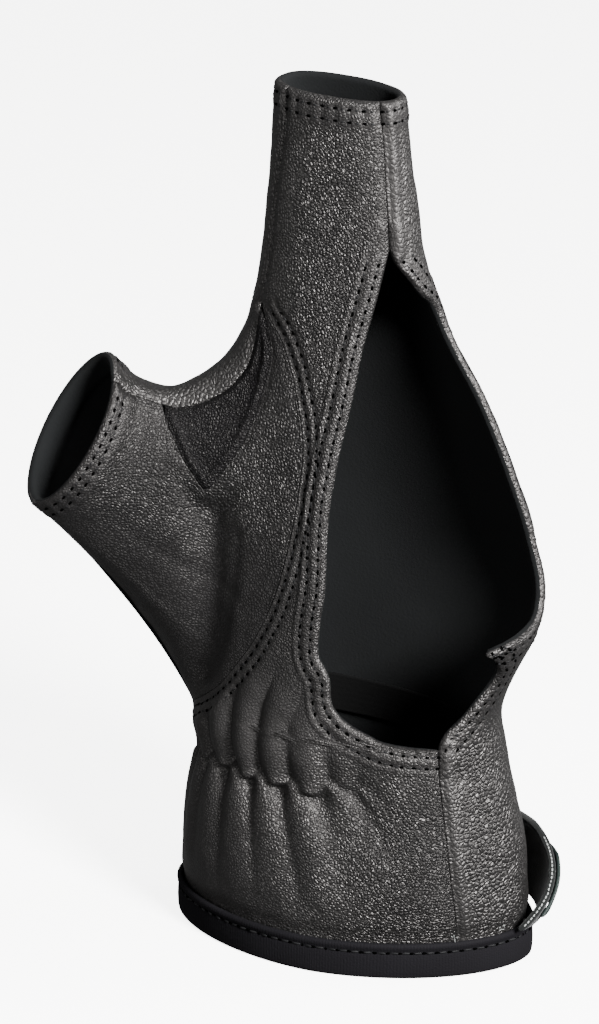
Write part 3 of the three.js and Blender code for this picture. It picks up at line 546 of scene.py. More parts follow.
def distances(points, tree, limit):
    """Distance of each point to the nearest one in a tree, no more than a limit."""
    return np.array([min(tree.find(point)[2], limit) for point in points])


def dense(line, spacing=0.3):
    """A line of points resampled at an even spacing."""
    line = np.asarray(line)
    steps = np.linalg.norm(np.diff(line, axis=0), axis=1)
    along = np.concatenate([[0], np.cumsum(steps)])
    count = max(int(along[-1] / spacing), 2)
    places = np.linspace(0, along[-1], count)
    return np.stack([np.interp(places, along, line[:, axis]) for axis in range(3)], 1)


def ripple(points, size, seed):
    """Smooth random values from -1 to 1 at a size in millimetres."""
    offset = Vector((seed * 31.7, seed * 17.3, seed * 7.9))
    return np.array([noise.noise(Vector(point) / size + offset) for point in points])


def make_object(name, points, faces, material_of_face=None):
    """A smooth-shaded object whose mesh holds its place, in metres."""
    mesh = bpy.data.meshes.new(name)
    mesh.from_pydata(((points + SHIFT) * MM).tolist(), [], faces)
    mesh.polygons.foreach_set("use_smooth", [True] * len(mesh.polygons))
    if material_of_face is not None:
        mesh.polygons.foreach_set("material_index", material_of_face)
    mesh.update()
    piece = bpy.data.objects.new(name, mesh)
    bpy.context.scene.collection.objects.link(piece)
    return piece


def face_lists(quads):
    """Lists of corners for the mesh, with three where two corners of a quad are one."""
    faces = []
    for face in quads.tolist():
        corners = [corner for i, corner in enumerate(face) if corner != face[i - 1]]
        faces.append(corners)
    return faces


def line_distances(points, lines, limit, spacing=0.3):
    """Distance of each point to the nearest of several lines, no more than a limit."""
    return distances(points, tree_of(np.concatenate([dense(line, spacing) for line in lines])), limit)


def edge_distances(points, edges, limit):
    """Distance of each point of a sheet to its open edge, no more than a limit."""
    rim = np.concatenate([points[edges[:, 0]], (points[edges[:, 0]] + points[edges[:, 1]]) / 2])
    from_edge = distances(points, tree_of(rim), limit)
    from_edge[edges.reshape(-1)] = 0
    return from_edge


def thick_sheet(name, points, normals, quads, edges, from_edge, lift, thickness):
    """A closed sheet with rounded edges: an outer face lifted by its relief and an inner face behind it."""
    radius = thickness / 2
    bulge = np.sqrt(np.maximum(radius**2 - np.maximum(radius - from_edge, 0) ** 2, 0))
    outer = points + normals * (lift - radius + bulge)[:, None]
    inner = points - normals * (radius + bulge)[:, None]
    back = np.arange(len(points)) + len(points)
    back[edges.reshape(-1)] = edges.reshape(-1)
    faces = face_lists(quads) + face_lists(back[quads[:, ::-1]])
    sides = [0] * len(quads) + [1] * len(quads)
    piece = make_object(name, np.concatenate([outer, inner]), faces, sides)
    drop_loose(piece)
    return piece


def pushed_edges(points, normals, edges, tuck):
    """The panel's edges moved outwards, so that neighbours overlap, and further beside a tucked line."""
    inward = np.zeros_like(points)
    along = points[edges[:, 1]] - points[edges[:, 0]]
    for i in range(2):
        np.add.at(inward, edges[:, i], unit(np.cross(normals[edges[:, i]], along)))
    push = np.full(len(points), SEAM_OVERLAP)
    if tuck is not None:
        push = push + TUCK_DEPTH * bell(line_distances(points, [tuck], 5), TUCK_SPREAD)
    return points - unit(inward) * np.where(np.abs(inward).sum(1) > 0, push, 0)[:, None]


def slack(points, waves, seed):
    """Soft waves in the leather, of a size and a height."""
    size, height = waves
    return height * ripple(points, size, seed)


def panel(name, points, quads, grain, hem_lines, stitch_lines, seed, ridge=0.0, valleys=(), welts=(),
          tuck=None):
    """A leather panel with rounded edges, thicker hems, dimples at its stitches and a suede inside."""
    points, quads, grain = merge(points, quads, grain)
    normals = vertex_normals(points, quads)
    edges = open_edges(quads)
    points = pushed_edges(points, normals, edges, tuck)
    from_edge = edge_distances(points, edges, 12)
    for line, width, depth in valleys:
        sunk = depth * bell(line_distances(points, [line], 20), width) * smoothstep(from_edge, 0, 5)
        points = points - normals * sunk[:, None]
        normals = np.where(sunk[:, None] > 0.02, vertex_normals(points, quads), normals)
    fold = np.zeros(len(points))
    if hem_lines:
        from_hem = line_distances(points, hem_lines, 12)
        fold = 1 - smoothstep(from_hem, HEM_WIDTH - 0.5, HEM_WIDTH + 0.5)
    relief = HEM_RELIEF * fold + slack(points, BROAD_SLACK, seed) + slack(points, SHORT_SLACK, seed + 1)
    relief = relief + ridge * bell(from_edge - 1.3, 0.8) - EDGE_ROUNDING * bell(from_edge, 1.1)
    if welts:
        from_welt = line_distances(points, welts, 8)
        relief = relief + WELT_HEIGHT * bell(from_welt - WELT_PLACE, 1.1)
        relief = relief - WELT_FOOT_DEPTH * bell(from_welt - WELT_FOOT_PLACE, 0.6)
        relief = relief - WELT_GROOVE * bell(from_welt, 1.0)
        grain = grain * (1 - 0.75 * bell(from_welt - 1.4, 2.0))
    if stitch_lines:
        from_hole = line_distances(points, stitch_lines, 4, STITCH_PITCH)
        from_line = line_distances(points, stitch_lines, 4)
        relief = relief - STITCH_FURROW * bell(from_line, 0.7) - HOLE_DIMPLE * bell(from_hole, 0.75)
        grain = grain * (1 - 0.7 * bell(from_line, 1.5))
    lift = relief * smoothstep(from_edge, 0, 0.8)
    piece = thick_sheet(name, points, normals, quads, edges, from_edge, lift, WALL + HEM_EXTRA * fold)
    inside = np.ones(len(points), bool)
    inside[edges.reshape(-1)] = False
    # The grain attribute sets the pebble's bump, its shine and how strong its painted highlight is.
    layer = piece.data.attributes.new("grain", "FLOAT", "POINT")
    layer.data.foreach_set("value", np.concatenate([grain, grain[inside]]).astype(np.float32))
    return piece


def drop_loose(piece):
    """Deletes the points that no face uses: a rounded edge needs no inner points of its own."""
    mesh = piece.data
    used = np.zeros(len(mesh.vertices), bool)
    corners = np.zeros(len(mesh.loops), np.int32)
    mesh.loops.foreach_get("vertex_index", corners)
    used[corners] = True
    bpy.ops.object.select_all(action="DESELECT")
    mesh.vertices.foreach_set("select", ~used)
    mesh.edges.foreach_set("select", [False] * len(mesh.edges))
    mesh.polygons.foreach_set("select", [False] * len(mesh.polygons))
    piece.select_set(True)
    bpy.context.view_layer.objects.active = piece
    bpy.ops.object.mode_set(mode="EDIT")
    bpy.ops.mesh.delete(type="VERT")
    bpy.ops.object.mode_set(mode="OBJECT")


def offset_line(line, normals, distance):
    """A line moved across the surface, to the left of its direction seen from outside."""
    along = np.gradient(line, axis=0)
    return line + unit(np.cross(normals, along)) * distance


def body_line(table, low=0.0, high=1.0, distance=0.0):
    """A seam table as points on the body between two heights, moved across the surface by a distance."""
    height = np.linspace(max(low, table[0][0]), min(high, table[-1][0]), 640)
    angle = smooth_read(table, 1, height)
    line = body_point(angle, height * HEIGHT)
    return offset_line(line, body_frame(angle, height * HEIGHT)[2], distance)


def thumb_line(is_front, up, out, distance=0.0):
    """A line on the thumb through shares up and out, moved across the surface by a distance."""
    step = 0.004
    higher, lower = np.minimum(up + step, 1), np.maximum(up - step, 0)
    further, nearer = np.minimum(out + step, 1), np.maximum(out - step, 0)
    upwards = thumb_point(is_front, higher, out) - thumb_point(is_front, lower, out)
    outwards = thumb_point(is_front, up, further) - thumb_point(is_front, up, nearer)
    normals = unit(np.cross(outwards, upwards)) * (-1 if is_front else 1)
    return offset_line(thumb_point(is_front, up, out), normals, distance)


def hex_colour(code):
    """Linear colour of an sRGB hex value."""
    parts = [int(code[i : i + 2], 16) / 255 for i in (1, 3, 5)]
    return (*[part / 12.92 if part <= 0.04045 else ((part + 0.055) / 1.055) ** 2.4 for part in parts], 1.0)


def node(tree, kind, settings=None, links=None):
    """Adds a node, sets its properties or sockets and links its inputs."""
    made = tree.nodes.new(kind)
    for key, value in (settings or {}).items():
        if isinstance(key, str) and hasattr(made, key):
            setattr(made, key, value)
        else:
            made.inputs[key].default_value = value
    for key, socket in (links or {}).items():
        tree.links.new(socket, made.inputs[key])
    return made


def material(name):
    """A new material without nodes."""
    made = bpy.data.materials.new(name)
    made.use_nodes = True
    made.node_tree.nodes.clear()
    return made, made.node_tree


def finish_material(made, tree, shader):
    """Links a shader to the material's output."""
    node(tree, "ShaderNodeOutputMaterial", links={"Surface": shader.outputs["BSDF"]})
    return made


# Object coordinates are metres, so a pattern whose scale is 1000 repeats about every millimetre: the pores
# are about 0.4 mm wide, the nap 0.6 mm and the clouds in the tone 11 to 17 mm.
def grain_leather(name, base, high, cell, shine):
    """Black goat leather, drum dyed and lightly finished: pebbles whose tops catch the light, by their bump
    and by a painted highlight that lightens or darkens each pebble at random, with painted shade in the
    grooves between them.
    """
    made, tree = material(name)
    place = node(tree, "ShaderNodeTexCoord").outputs["Object"]
    strength = node(tree, "ShaderNodeAttribute", {"attribute_name": "grain"}).outputs["Fac"]
    drift = node(tree, "ShaderNodeTexNoise", {"Scale": 260.0, "Detail": 2.0}, {"Vector": place})
    wander = node(tree, "ShaderNodeVectorMath", {"operation": "MULTIPLY_ADD", 1: (0.0011, 0.0011, 0.0011)},
                  {0: drift.outputs["Color"], 2: place})
    pebbling = {"Scale": 1000.0 / cell, "Randomness": 0.9}
    cells = node(tree, "ShaderNodeTexVoronoi", {"feature": "F1", **pebbling}, {"Vector": wander.outputs[0]})
    grooves = node(tree, "ShaderNodeTexVoronoi", {"feature": "DISTANCE_TO_EDGE", **pebbling},
                   {"Vector": wander.outputs[0]})
    pores = node(tree, "ShaderNodeTexNoise", {"Scale": 2600.0, "Detail": 3.0}, {"Vector": place})
    patches = node(tree, "ShaderNodeTexNoise", {"Scale": 70.0, "Detail": 4.0}, {"Vector": place})
    pebble = node(tree, "ShaderNodeMapRange", {"interpolation_type": "SMOOTHSTEP", "From Max": 0.32},
                  {"Value": grooves.outputs["Distance"]})
    dome = node(tree, "ShaderNodeMath", {"operation": "MULTIPLY_ADD", 1: -0.35},
                {0: cells.outputs["Distance"], 2: pebble.outputs[0]})
    fine = node(tree, "ShaderNodeMath", {"operation": "MULTIPLY_ADD", 1: 0.45},
                {0: pores.outputs["Fac"], 2: dome.outputs[0]})
    power = node(tree, "ShaderNodeMapRange", {"To Min": 0.22, "To Max": 1.0}, {"Value": strength})
    bump = node(tree, "ShaderNodeBump", {"Distance": 0.00024},
                {"Height": fine.outputs[0], "Strength": power.outputs[0]})
    tone = node(tree, "ShaderNodeMix", {"data_type": "RGBA", 6: hex_colour(base), 7: hex_colour(high)},
                {0: patches.outputs["Fac"]})
    # Painted highlight: each pebble's colour is scaled at random from 0.5 to 1.6, as far as the grain
    # attribute allows, for the light that its top catches.
    lit = node(tree, "ShaderNodeMapRange", {"To Min": 0.5, "To Max": 1.6}, {"Value": cells.outputs["Color"]})
    even = node(tree, "ShaderNodeMix", {"data_type": "FLOAT", 2: 1.0}, {0: strength, 3: lit.outputs[0]})
    # Painted shade: the colour falls to 0.3 of itself in the grooves between the pebbles.
    shade = node(tree, "ShaderNodeMapRange", {"To Min": 0.3, "To Max": 1.0}, {"Value": pebble.outputs[0]})
    both = node(tree, "ShaderNodeMath", {"operation": "MULTIPLY"}, {0: even.outputs[0], 1: shade.outputs[0]})
    colour = node(tree, "ShaderNodeVectorMath", {"operation": "SCALE"},
                  {0: tone.outputs[2], 3: both.outputs[0]})
    rough = node(tree, "ShaderNodeMapRange", {"To Min": 0.56, "To Max": 0.42}, {"Value": strength})
    shader = node(tree, "ShaderNodeBsdfPrincipled",
                  {"IOR": 1.5, "Specular IOR Level": shine, "Specular Tint": hex_colour("#fffaf7")},
                  {"Base Color": colour.outputs[0], "Roughness": rough.outputs[0], "Normal": bump.outputs[0]})
    return finish_material(made, tree, shader)


def suede(name, base, high):
    """The flesh side of the leather: a short matte nap, almost black."""
    made, tree = material(name)
    place = node(tree, "ShaderNodeTexCoord").outputs["Object"]
    nap = node(tree, "ShaderNodeTexNoise", {"Scale": 1800.0, "Detail": 4.0}, {"Vector": place})
    clouds = node(tree, "ShaderNodeTexNoise", {"Scale": 60.0, "Detail": 3.0}, {"Vector": place})
    bump = node(tree, "ShaderNodeBump", {"Distance": 0.0002, "Strength": 0.6}, {"Height": nap.outputs["Fac"]})
    tone = node(tree, "ShaderNodeMix", {"data_type": "RGBA", 6: hex_colour(base), 7: hex_colour(high)},
                {0: clouds.outputs["Fac"]})
    shader = node(tree, "ShaderNodeBsdfPrincipled", {"Roughness": 0.95, "Specular IOR Level": 0.15},
                  {"Base Color": tone.outputs[2], "Normal": bump.outputs[0]})
    return finish_material(made, tree, shader)


def woven(name, base, high, pitch, roughness, sheen=0.0):
    """Polyester tape or thread: fine ribs of yarn at a pitch in millimetres."""
    made, tree = material(name)
    place = node(tree, "ShaderNodeTexCoord").outputs["Object"]
    yarn = node(tree, "ShaderNodeTexNoise", {"Scale": 1000.0 / pitch, "Detail": 2.0}, {"Vector": place})
    fuzz = node(tree, "ShaderNodeTexNoise", {"Scale": 90.0, "Detail": 3.0}, {"Vector": place})
    bump = node(tree, "ShaderNodeBump", {"Distance": 0.00015, "Strength": 0.7},
                {"Height": yarn.outputs["Fac"]})
    tone = node(tree, "ShaderNodeMix", {"data_type": "RGBA", 6: hex_colour(base), 7: hex_colour(high)},
                {0: fuzz.outputs["Fac"]})
    shader = node(tree, "ShaderNodeBsdfPrincipled",
                  {"Roughness": roughness, "Sheen Weight": sheen, "Specular IOR Level": 0.1},
                  {"Base Color": tone.outputs[2], "Normal": bump.outputs[0]})
    return finish_material(made, tree, shader)


def hole_shade(name, code):
    """The painted shade inside a needle's hole: dark and without any shine."""
    made, tree = material(name)
    shader = node(tree, "ShaderNodeBsdfPrincipled",
                  {"Base Color": hex_colour(code), "Roughness": 1.0, "Specular IOR Level": 0.0})
    return finish_material(made, tree, shader)


def light_table(name, code, glow):
    """A matt opal sheet lit from below, which makes the ground nearly white."""
    made, tree = material(name)
    shader = node(tree, "ShaderNodeBsdfPrincipled",
                  {"Base Color": hex_colour(code), "Roughness": 0.9, "Emission Color": hex_colour(code),
                   "Emission Strength": glow})
    return finish_material(made, tree, shader)


def finish_piece(piece, slot, materials, *nodes):
    """Gives a piece its materials and body and hides the CAD nodes that it replaces; its slot is not used."""
    for one in materials:
        piece.data.materials.append(one)
    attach(piece, "root")
    if nodes:
        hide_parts(*nodes)


MATERIALS = {}
# How strongly each leather shines, and its pebble's size as a share of the grain cell.
LEATHER_FINISH = {"palm": (0.47, 1.0), "back": (0.56, 1.35), "thumb": (0.30, 1.0), "gusset": (0.12, 0.9)}


def shared_material(name, make, *settings):
    """Makes a material once and gives the same one after that."""
    if name not in MATERIALS:
        MATERIALS[name] = make(name, *settings)
    return MATERIALS[name]


def grain_field(angle, z):
    """How strongly the pebble shows on the body, in its bump, its shine and its painted highlight: high in
    slack leather, low where it is stretched.
    """
    angle = np.mod(angle, 360)
    grain = np.full(np.broadcast(angle, z).shape, 0.55)
    places = [
        (275, 150, 26, 34, 0.45), (335, 36, 22, 26, 0.5), (300, 22, 20, 18, 0.4), (266, 100, 14, 34, 0.3),
        (240, 53, 36, 13, -0.7), (215, 20, 24, 20, -0.4), (90, 100, 70, 50, 0.1),
    ]
    for middle, height, across, tall, amount in places:
        grain = grain + amount * bell(angle - middle, across) * bell(z - height, tall)
    return np.clip(grain, 0.05, 1.0)


def tube_faces(base, rings, sides):
    """Faces of a closed tube whose points lie ring after ring, counted from a base."""
    faces = []
    for ring in range(rings - 1):
        for side in range(sides):
            a = base + ring * sides + side
            b = base + ring * sides + (side + 1) % sides
            faces.append([a, b, b + sides, a + sides])
    faces.append([base + side for side in range(sides)][::-1])
    faces.append([base + (rings - 1) * sides + side for side in range(sides)])
    return faces


def needle_hole(centre, normal, along, beside, radius, base):
    """A flat closed oval, longer along the seam, that shades a needle's hole."""
    points = []
    faces = []
    for side in range(HOLE_SIDES):
        angle = 2 * math.pi * side / HOLE_SIDES
        round_way = along * math.cos(angle) + beside * math.sin(angle) * HOLE_OVAL
        points.append(centre + round_way * radius + normal * HOLE_RIM)
        after = (side + 1) % HOLE_SIDES
        faces.append([base + side, base + after, base + HOLE_SIDES])
        faces.append([base + after, base + side, base + HOLE_SIDES + 1])
    return points + [centre + normal * HOLE_TOP, centre - normal * HOLE_DEPTH], faces


def thread_bar(centre, normal, along, beside, width, length, sink):
    """Points of one stitch: a bar that rounds off and dips into the leather at both ends."""
    points = []
    for share, size in THREAD_RINGS:
        arch = sink * 2.2 * (abs(share) * 2) ** 2
        for side in range(THREAD_SIDES):
            angle = 2 * math.pi * side / THREAD_SIDES
            across = beside * math.cos(angle) * width * size * 0.5
            above = normal * (math.sin(angle) * width * size * 0.42 - sink - arch + width * 0.3)
            points.append(centre + along * share * length + across + above)
    return points


def stitches(name, lines, surface, width=0.46, length=1.15, sink=0.16, pitch=STITCH_PITCH, hole=0.62):
    """Rows of thread stitches that lie on a surface along lines, each with a disc of painted shade over the
    hole at its start.
    """
    surface_tree = bvhtree.BVHTree.FromPolygons(
        [vertex.co / MM for vertex in surface.data.vertices],
        [list(face.vertices) for face in surface.data.polygons],
    )
    points, faces, tones = [], [], []
    for line in lines:
        line = dense(line, pitch) + SHIFT
        for start, end in zip(line, line[1:]):
            middle = Vector((start + end) / 2)
            place, normal, _, _ = surface_tree.find_nearest(middle)
            if place is None or (place - middle).length > 3:
                continue
            along = Vector(end) - Vector(start)
            along = (along - normal * along.dot(normal)).normalized()
            beside = normal.cross(along)
            if hole:
                at, out, _, _ = surface_tree.find_nearest(Vector(start))
                new_points, new_faces = needle_hole(at, out, along, beside, hole, len(points))
                points += new_points
                faces += new_faces
                tones += [1] * len(new_faces)
            new_faces = tube_faces(len(points), len(THREAD_RINGS), THREAD_SIDES)
            points += thread_bar(place, normal, along, beside, width, length, sink)
            faces += new_faces
            tones += [0] * len(new_faces)
    return make_object(name, np.array(points) - SHIFT, faces, tones)


def leather(kind):
    """Grain side and flesh side of one of the leathers."""
    looks = bpy.context.scene.glove_looks
    shine, pebble = LEATHER_FINISH[kind]
    low, high = getattr(looks, f"{kind}_low"), getattr(looks, f"{kind}_high")
    return [
        shared_material(f"{kind}_goat_leather", grain_leather, low, high, looks.grain_cell * pebble, shine),
        shared_material("leather_flesh_side", suede, looks.suede_low, looks.suede_high),
    ]


def thread():
    """The black sewing thread and the shade in its needle holes."""
    looks = bpy.context.scene.glove_looks
    return [
        shared_material("black_polyester_thread", woven, looks.thread_low, looks.thread_high, 0.25, 0.6),
        shared_material("needle_hole_shade", hole_shade, looks.hole_shade_tone),
    ]


PALM_THUMB_SIDE = [CUFF_THUMB_SEAM, ARC_SEAM, FINGER_THUMB_SEAM]
PALM_OUTER_SIDE = [CUFF_OUTER_SEAM, PALM_OPENING, FINGER_OUTER_SEAM]
BACK_OUTER_SIDE = [CUFF_OUTER_SEAM, BACK_OPENING, FINGER_OUTER_SEAM]
BACK_THUMB_SIDE = [CUFF_THUMB_SEAM, THUMB_BACK_LINE, FINGER_THUMB_SEAM]


def rim_line(low_angle, high_angle, drop):
    """A line round the finger's tube, a drop below its rim."""
    angle = np.linspace(low_angle, high_angle, 60)
    return body_point(angle, np.full(60, HEIGHT - drop))


def make_palm_panel():
    """Palm side of the cuff and the hand, with the front of the finger."""
    count = 118
    points, angle, z = body_grid(zone(PALM_THUMB_SIDE, ROWS), zone(PALM_OUTER_SIDE, ROWS), count)
    quads = grid_quads(len(ROWS), count)
    hems = [body_line(PALM_OPENING), rim_line(233, 322, 0)]
    near, far = OPENING_ROWS
    rows = [body_line(PALM_OPENING, 0.2685, 0.83, near), body_line(PALM_OPENING, 0.2685, 0.822, far)]
    near, far = THUMB_SEAM_ROWS
    rows += [body_line(ARC_SEAM, 0.262, 0.75, -near), body_line(ARC_SEAM, 0.262, 0.745, -far)]
    rows += [rim_line(234, 321, drop) for drop in RIM_ROWS]
    grain = grain_field(angle, z).reshape(-1)
    piece = panel("palm_leather", points.reshape(-1, 3), quads, grain, hems, rows, 3)
    finish_piece(piece, "palm_leather", leather("palm"), "palm_panel")
    sewn = stitches("palm_stitches", rows, piece)
    finish_piece(sewn, "palm_leather", thread())


def make_back_panel():
    """Back of the hand and the thumb, both sides of the finger, and the strip over the crotch to the rim."""
    count = 104
    points, angle, z = body_grid(zone(BACK_OUTER_SIDE, ROWS) - 360, zone(BACK_THUMB_SIDE, ROWS), count)
    quads = [grid_quads(len(ROWS), count)]
    grain = [grain_field(angle, z).reshape(-1)]
    parts = [points.reshape(-1, 3)]
    in_loop = (ROWS >= LOOP_BOTTOM - 1e-6) & (ROWS <= LOOP_TOP + 1e-6)
    ups = np.clip((ROWS[in_loop] - LOOP_BOTTOM) / (LOOP_TOP - LOOP_BOTTOM), 0, 1)
    outs = edge_shares(THUMB_LENGTH, 64)
    behind = thumb_point(False, ups[:, None], outs[None, :])
    quads.append(grid_quads(len(ups), len(outs), sum(map(len, parts))))
    parts.append(behind.reshape(-1, 3))
    groove = np.interp(outs, THUMB_GROOVE[:, 0], THUMB_GROOVE[:, 1])
    shares = STRIP_SHARES[:, None]
    strip = thumb_point(True, 1 + (groove[None, :] - 1) * shares, np.repeat(outs[None, :], len(shares), 0))
    quads.append(grid_quads(len(shares), len(outs), sum(map(len, parts))))
    parts.append(strip.reshape(-1, 3))
    grain += [np.full(len(part), 0.5) for part in parts[1:]]
    rim_ups = np.linspace(0.02, 0.99, 90)
    rim = thumb_line(False, rim_ups, np.ones(90))
    hems = [body_line(BACK_OPENING), rim_line(-38, 232, 0), rim]
    near, far = OPENING_ROWS
    rows = [body_line(BACK_OPENING, 0.277, 0.83, -near), body_line(BACK_OPENING, 0.284, 0.822, -far)]
    rows += [rim_line(-36, 230, drop) for drop in RIM_ROWS]
    rows += [thumb_line(False, rim_ups, np.full(90, share)) for share in THUMB_RIM_ROWS]
    welts = [body_line(CUFF_OUTER_SEAM), body_line(FINGER_OUTER_SEAM)]
    points, quads, grain = np.concatenate(parts), np.concatenate(quads), np.concatenate(grain)
    piece = panel("back_leather", points, quads, grain, hems, rows, 5, welts=welts)
    finish_piece(piece, "back_leather", leather("back"), "back_panel")
    sewn = stitches("back_stitches", rows, piece)
    finish_piece(sewn, "back_leather", thread())


def make_thumb_panel():
    """Front of the thumb, below the strip over the crotch and the gusset."""
    outs = edge_shares(THUMB_LENGTH, 76)
    groove = np.interp(outs, THUMB_GROOVE[:, 0], THUMB_GROOVE[:, 1])
    gusset = np.interp(outs, GUSSET_SEAM[:, 0], GUSSET_SEAM[:, 1])
    top = np.where(outs <= GUSSET_END, np.minimum(gusset, groove), groove)
    levels = edge_shares(THUMB_GIRTH, 110)
    ups = levels[:, None] * top[None, :]
    points = thumb_point(True, ups, np.repeat(outs[None, :], len(levels), 0))
    quads = grid_quads(len(levels), len(outs), flip=True)
    grain = 0.45 - 0.25 * bell(ups - 0.25, 0.2) * bell(outs[None, :] - 0.25, 0.3) + 0.3 * bell(ups - 0.6, 0.2)
    rim_ups = np.linspace(0.02, 0.9, 80)
    hems = [thumb_line(True, rim_ups, np.ones(80))]
    rows = [thumb_line(True, rim_ups, np.full(80, share)) for share in THUMB_RIM_ROWS]
    valleys = [
        (thumb_point(True, VALLEY[:, 0], VALLEY[:, 1]), VALLEY_SPREAD, VALLEY_DEPTH),
        (thumb_point(True, CREASE[:, 0], CREASE[:, 1]), CREASE_SPREAD, CREASE_DEPTH),
    ]
    tuck = thumb_point(True, np.linspace(0, 0.3, 60), np.zeros(60))
    piece = panel("thumb_leather", points.reshape(-1, 3), quads, grain.reshape(-1), hems, rows, 7,
                  valleys=valleys, tuck=tuck)
    finish_piece(piece, "palm_leather", leather("thumb"), "thumb_panel")
    sewn = stitches("thumb_stitches", rows, piece)
    finish_piece(sewn, "palm_leather", thread())


def make_web_gusset():
    """The gusset between thumb and finger, let in below the strip over the crotch."""
    outs = np.linspace(GUSSET_START, GUSSET_END, 90)
    low = np.interp(outs, GUSSET_SEAM[:, 0], GUSSET_SEAM[:, 1])
    high = np.interp(outs, THUMB_GROOVE[:, 0], THUMB_GROOVE[:, 1])
    levels = edge_shares(GUSSET_BREADTH, 40)
    ups = low[None, :] + (high - low)[None, :] * levels[:, None]
    points = thumb_point(True, ups, np.repeat(outs[None, :], len(levels), 0))
    quads = grid_quads(len(levels), len(outs), flip=True)
    grain = np.full(len(levels) * len(outs), 0.6)
    piece = panel("gusset_leather", points.reshape(-1, 3), quads, grain, [], [], 11, ridge=0.45)
    finish_piece(piece, "gusset_leather", leather("gusset"), "web_gusset")


def make_cuff_binding():
    """Folded tape: ribbed faces, a rounded foot that stays flat below, and a rolled upper edge."""
    looks = bpy.context.scene.glove_looks
    outside = BINDING_PROUD
    inside = outside - 2 * BINDING_THICKNESS - 2 * BINDING_GAP - WALL
    # Distance out from the hand's form, then height, from the inner foot up, over and down the outside.
    profile = [(inside + 0.5, 0.0), (inside + 0.1, 0.25), (inside, 0.8), (inside, 3.5), (inside, 6.4),
               (inside + 0.2, 6.9), (inside + 0.6, 7.05), (inside + 0.95, 6.8), (inside + 1.0, 6.3),
               (inside + 1.0, 1.4), (outside - 1.0, 1.4), (outside - 1.0, 7.3), (outside - 0.85, 7.8),
               (outside - 0.4, 8.0), (outside + 0.1, 7.8), (outside + 0.28, 7.3), (outside + 0.2, 6.8),
               (outside - 0.02, 6.4), (outside - 0.12, 6.0), (outside, 5.5), (outside + 0.05, 4.5),
               (outside + 0.08, 3.0), (outside + 0.02, 1.6), (outside - 0.05, 0.8), (outside - 0.2, 0.25),
               (outside - 0.55, 0.0)]
    steps = BINDING_RIBS * 3
    angle = 360 * np.arange(steps) / steps
    wave = np.cos(2 * math.pi * np.arange(steps) / 3) * BINDING_RIB_HEIGHT
    rows = []
    for offset, z in profile:
        is_foot = z == 0
        rows.append(form_point(angle, np.full(steps, z), offset + (0 if is_foot else wave)))
    points = np.concatenate(rows)
    index = np.arange(len(profile) * steps).reshape(len(profile), steps)
    beside, above = np.roll(index, -1, 1), np.roll(index, -1, 0)
    quads = np.stack([above, np.roll(beside, -1, 0), beside, index], -1).reshape(-1, 4)
    piece = make_object("binding_tape", points, quads.tolist())
    tape = shared_material("ribbed_polyester_tape", woven, looks.binding_low, looks.binding_high, 0.35, 0.85)
    finish_piece(piece, "binding_tape", [tape], "cuff_binding")
    around = np.linspace(0, 360, 500)
    rows = [form_point(around, np.full(500, BINDING_ROW), BINDING_PROUD + 0.1)]
    sewn = stitches("binding_stitches", rows, piece, width=0.5, length=1.9, sink=0.05, pitch=2.6)
    finish_piece(sewn, "binding_tape", thread())


def tab_point(along, up, extra):
    """Points over the closure tab: along from its front edge to its sewn end, up from the binding."""
    front = TAB_FRONT_LOW + (TAB_FRONT_HIGH - TAB_FRONT_LOW) * up
    angle = front + (TAB_BACK - front) * along
    flare = TAB_FLARE * np.sin(np.pi * np.minimum(up * 0.75 + 0.08, 1)) * np.maximum(1 - along, 0) ** 1.5
    return form_point(angle, TAB_FOOT + TAB_HEIGHT * up, TAB_STAND_OFF + flare + extra)


def tab_top(along):
    """Share of the flap's height that its upper edge reaches, less at its rounded front corner."""
    length = math.radians(TAB_BACK - TAB_FRONT_LOW) * (CUFF[0] + CUFF[1]) / 4
    short = np.maximum(TAB_CORNER - along * length, 0)
    drop = TAB_CORNER - np.sqrt(np.maximum(TAB_CORNER**2 - short**2, 0))
    return 1 - drop / TAB_HEIGHT


def plate(name, near, far, low, high, margin, inside, thickness, columns, rows):
    """A fabric plate with rounded edges that follows the closure tab."""
    along = near + (far - near) * edge_shares(TAB_LENGTH * (far - near), columns)
    shares = edge_shares(TAB_HEIGHT * (high - low), rows)
    tops = np.minimum(high, tab_top(along) - margin)
    ups = low + (tops - low)[None, :] * shares[:, None]
    alongs = np.repeat(along[None, :], rows, 0)
    points = tab_point(alongs, ups, inside + thickness).reshape(-1, 3)
    quads = grid_quads(rows, columns)
    normals = vertex_normals(points, quads)
    edges = open_edges(quads)
    from_edge = edge_distances(points, edges, 5)
    return thick_sheet(name, points, normals, quads, edges, from_edge, slack(points, (5, 0.06), 2), thickness)


def make_closure_tab():
    """The closure flap, with pale thread overlocked along its front edge."""
    looks = bpy.context.scene.glove_looks
    piece = plate("closure_flap", 0, 1, 0, 1, 0, 0, TAB_THICKNESS, 60, 40)
    cloth = shared_material("brushed_nylon_flap", woven, looks.tab_low, looks.tab_high, 0.3, 0.85, 0.1)
    finish_piece(piece, "tab_fabric", [cloth, cloth], "closure_tab")
    up = np.linspace(0.02, 0.94, 60)
    edge = tab_point(np.full(60, 0.006), up, TAB_THICKNESS * 0.5)
    pale = shared_material("pale_overlock_thread", woven, looks.overlock_low, looks.overlock_high, 0.25, 0.6)
    loops = stitches("overlock_stitches", [edge], piece, width=0.34, length=0.7, sink=0.0, pitch=0.85, hole=0)
    finish_piece(loops, "tab_fabric", [pale])


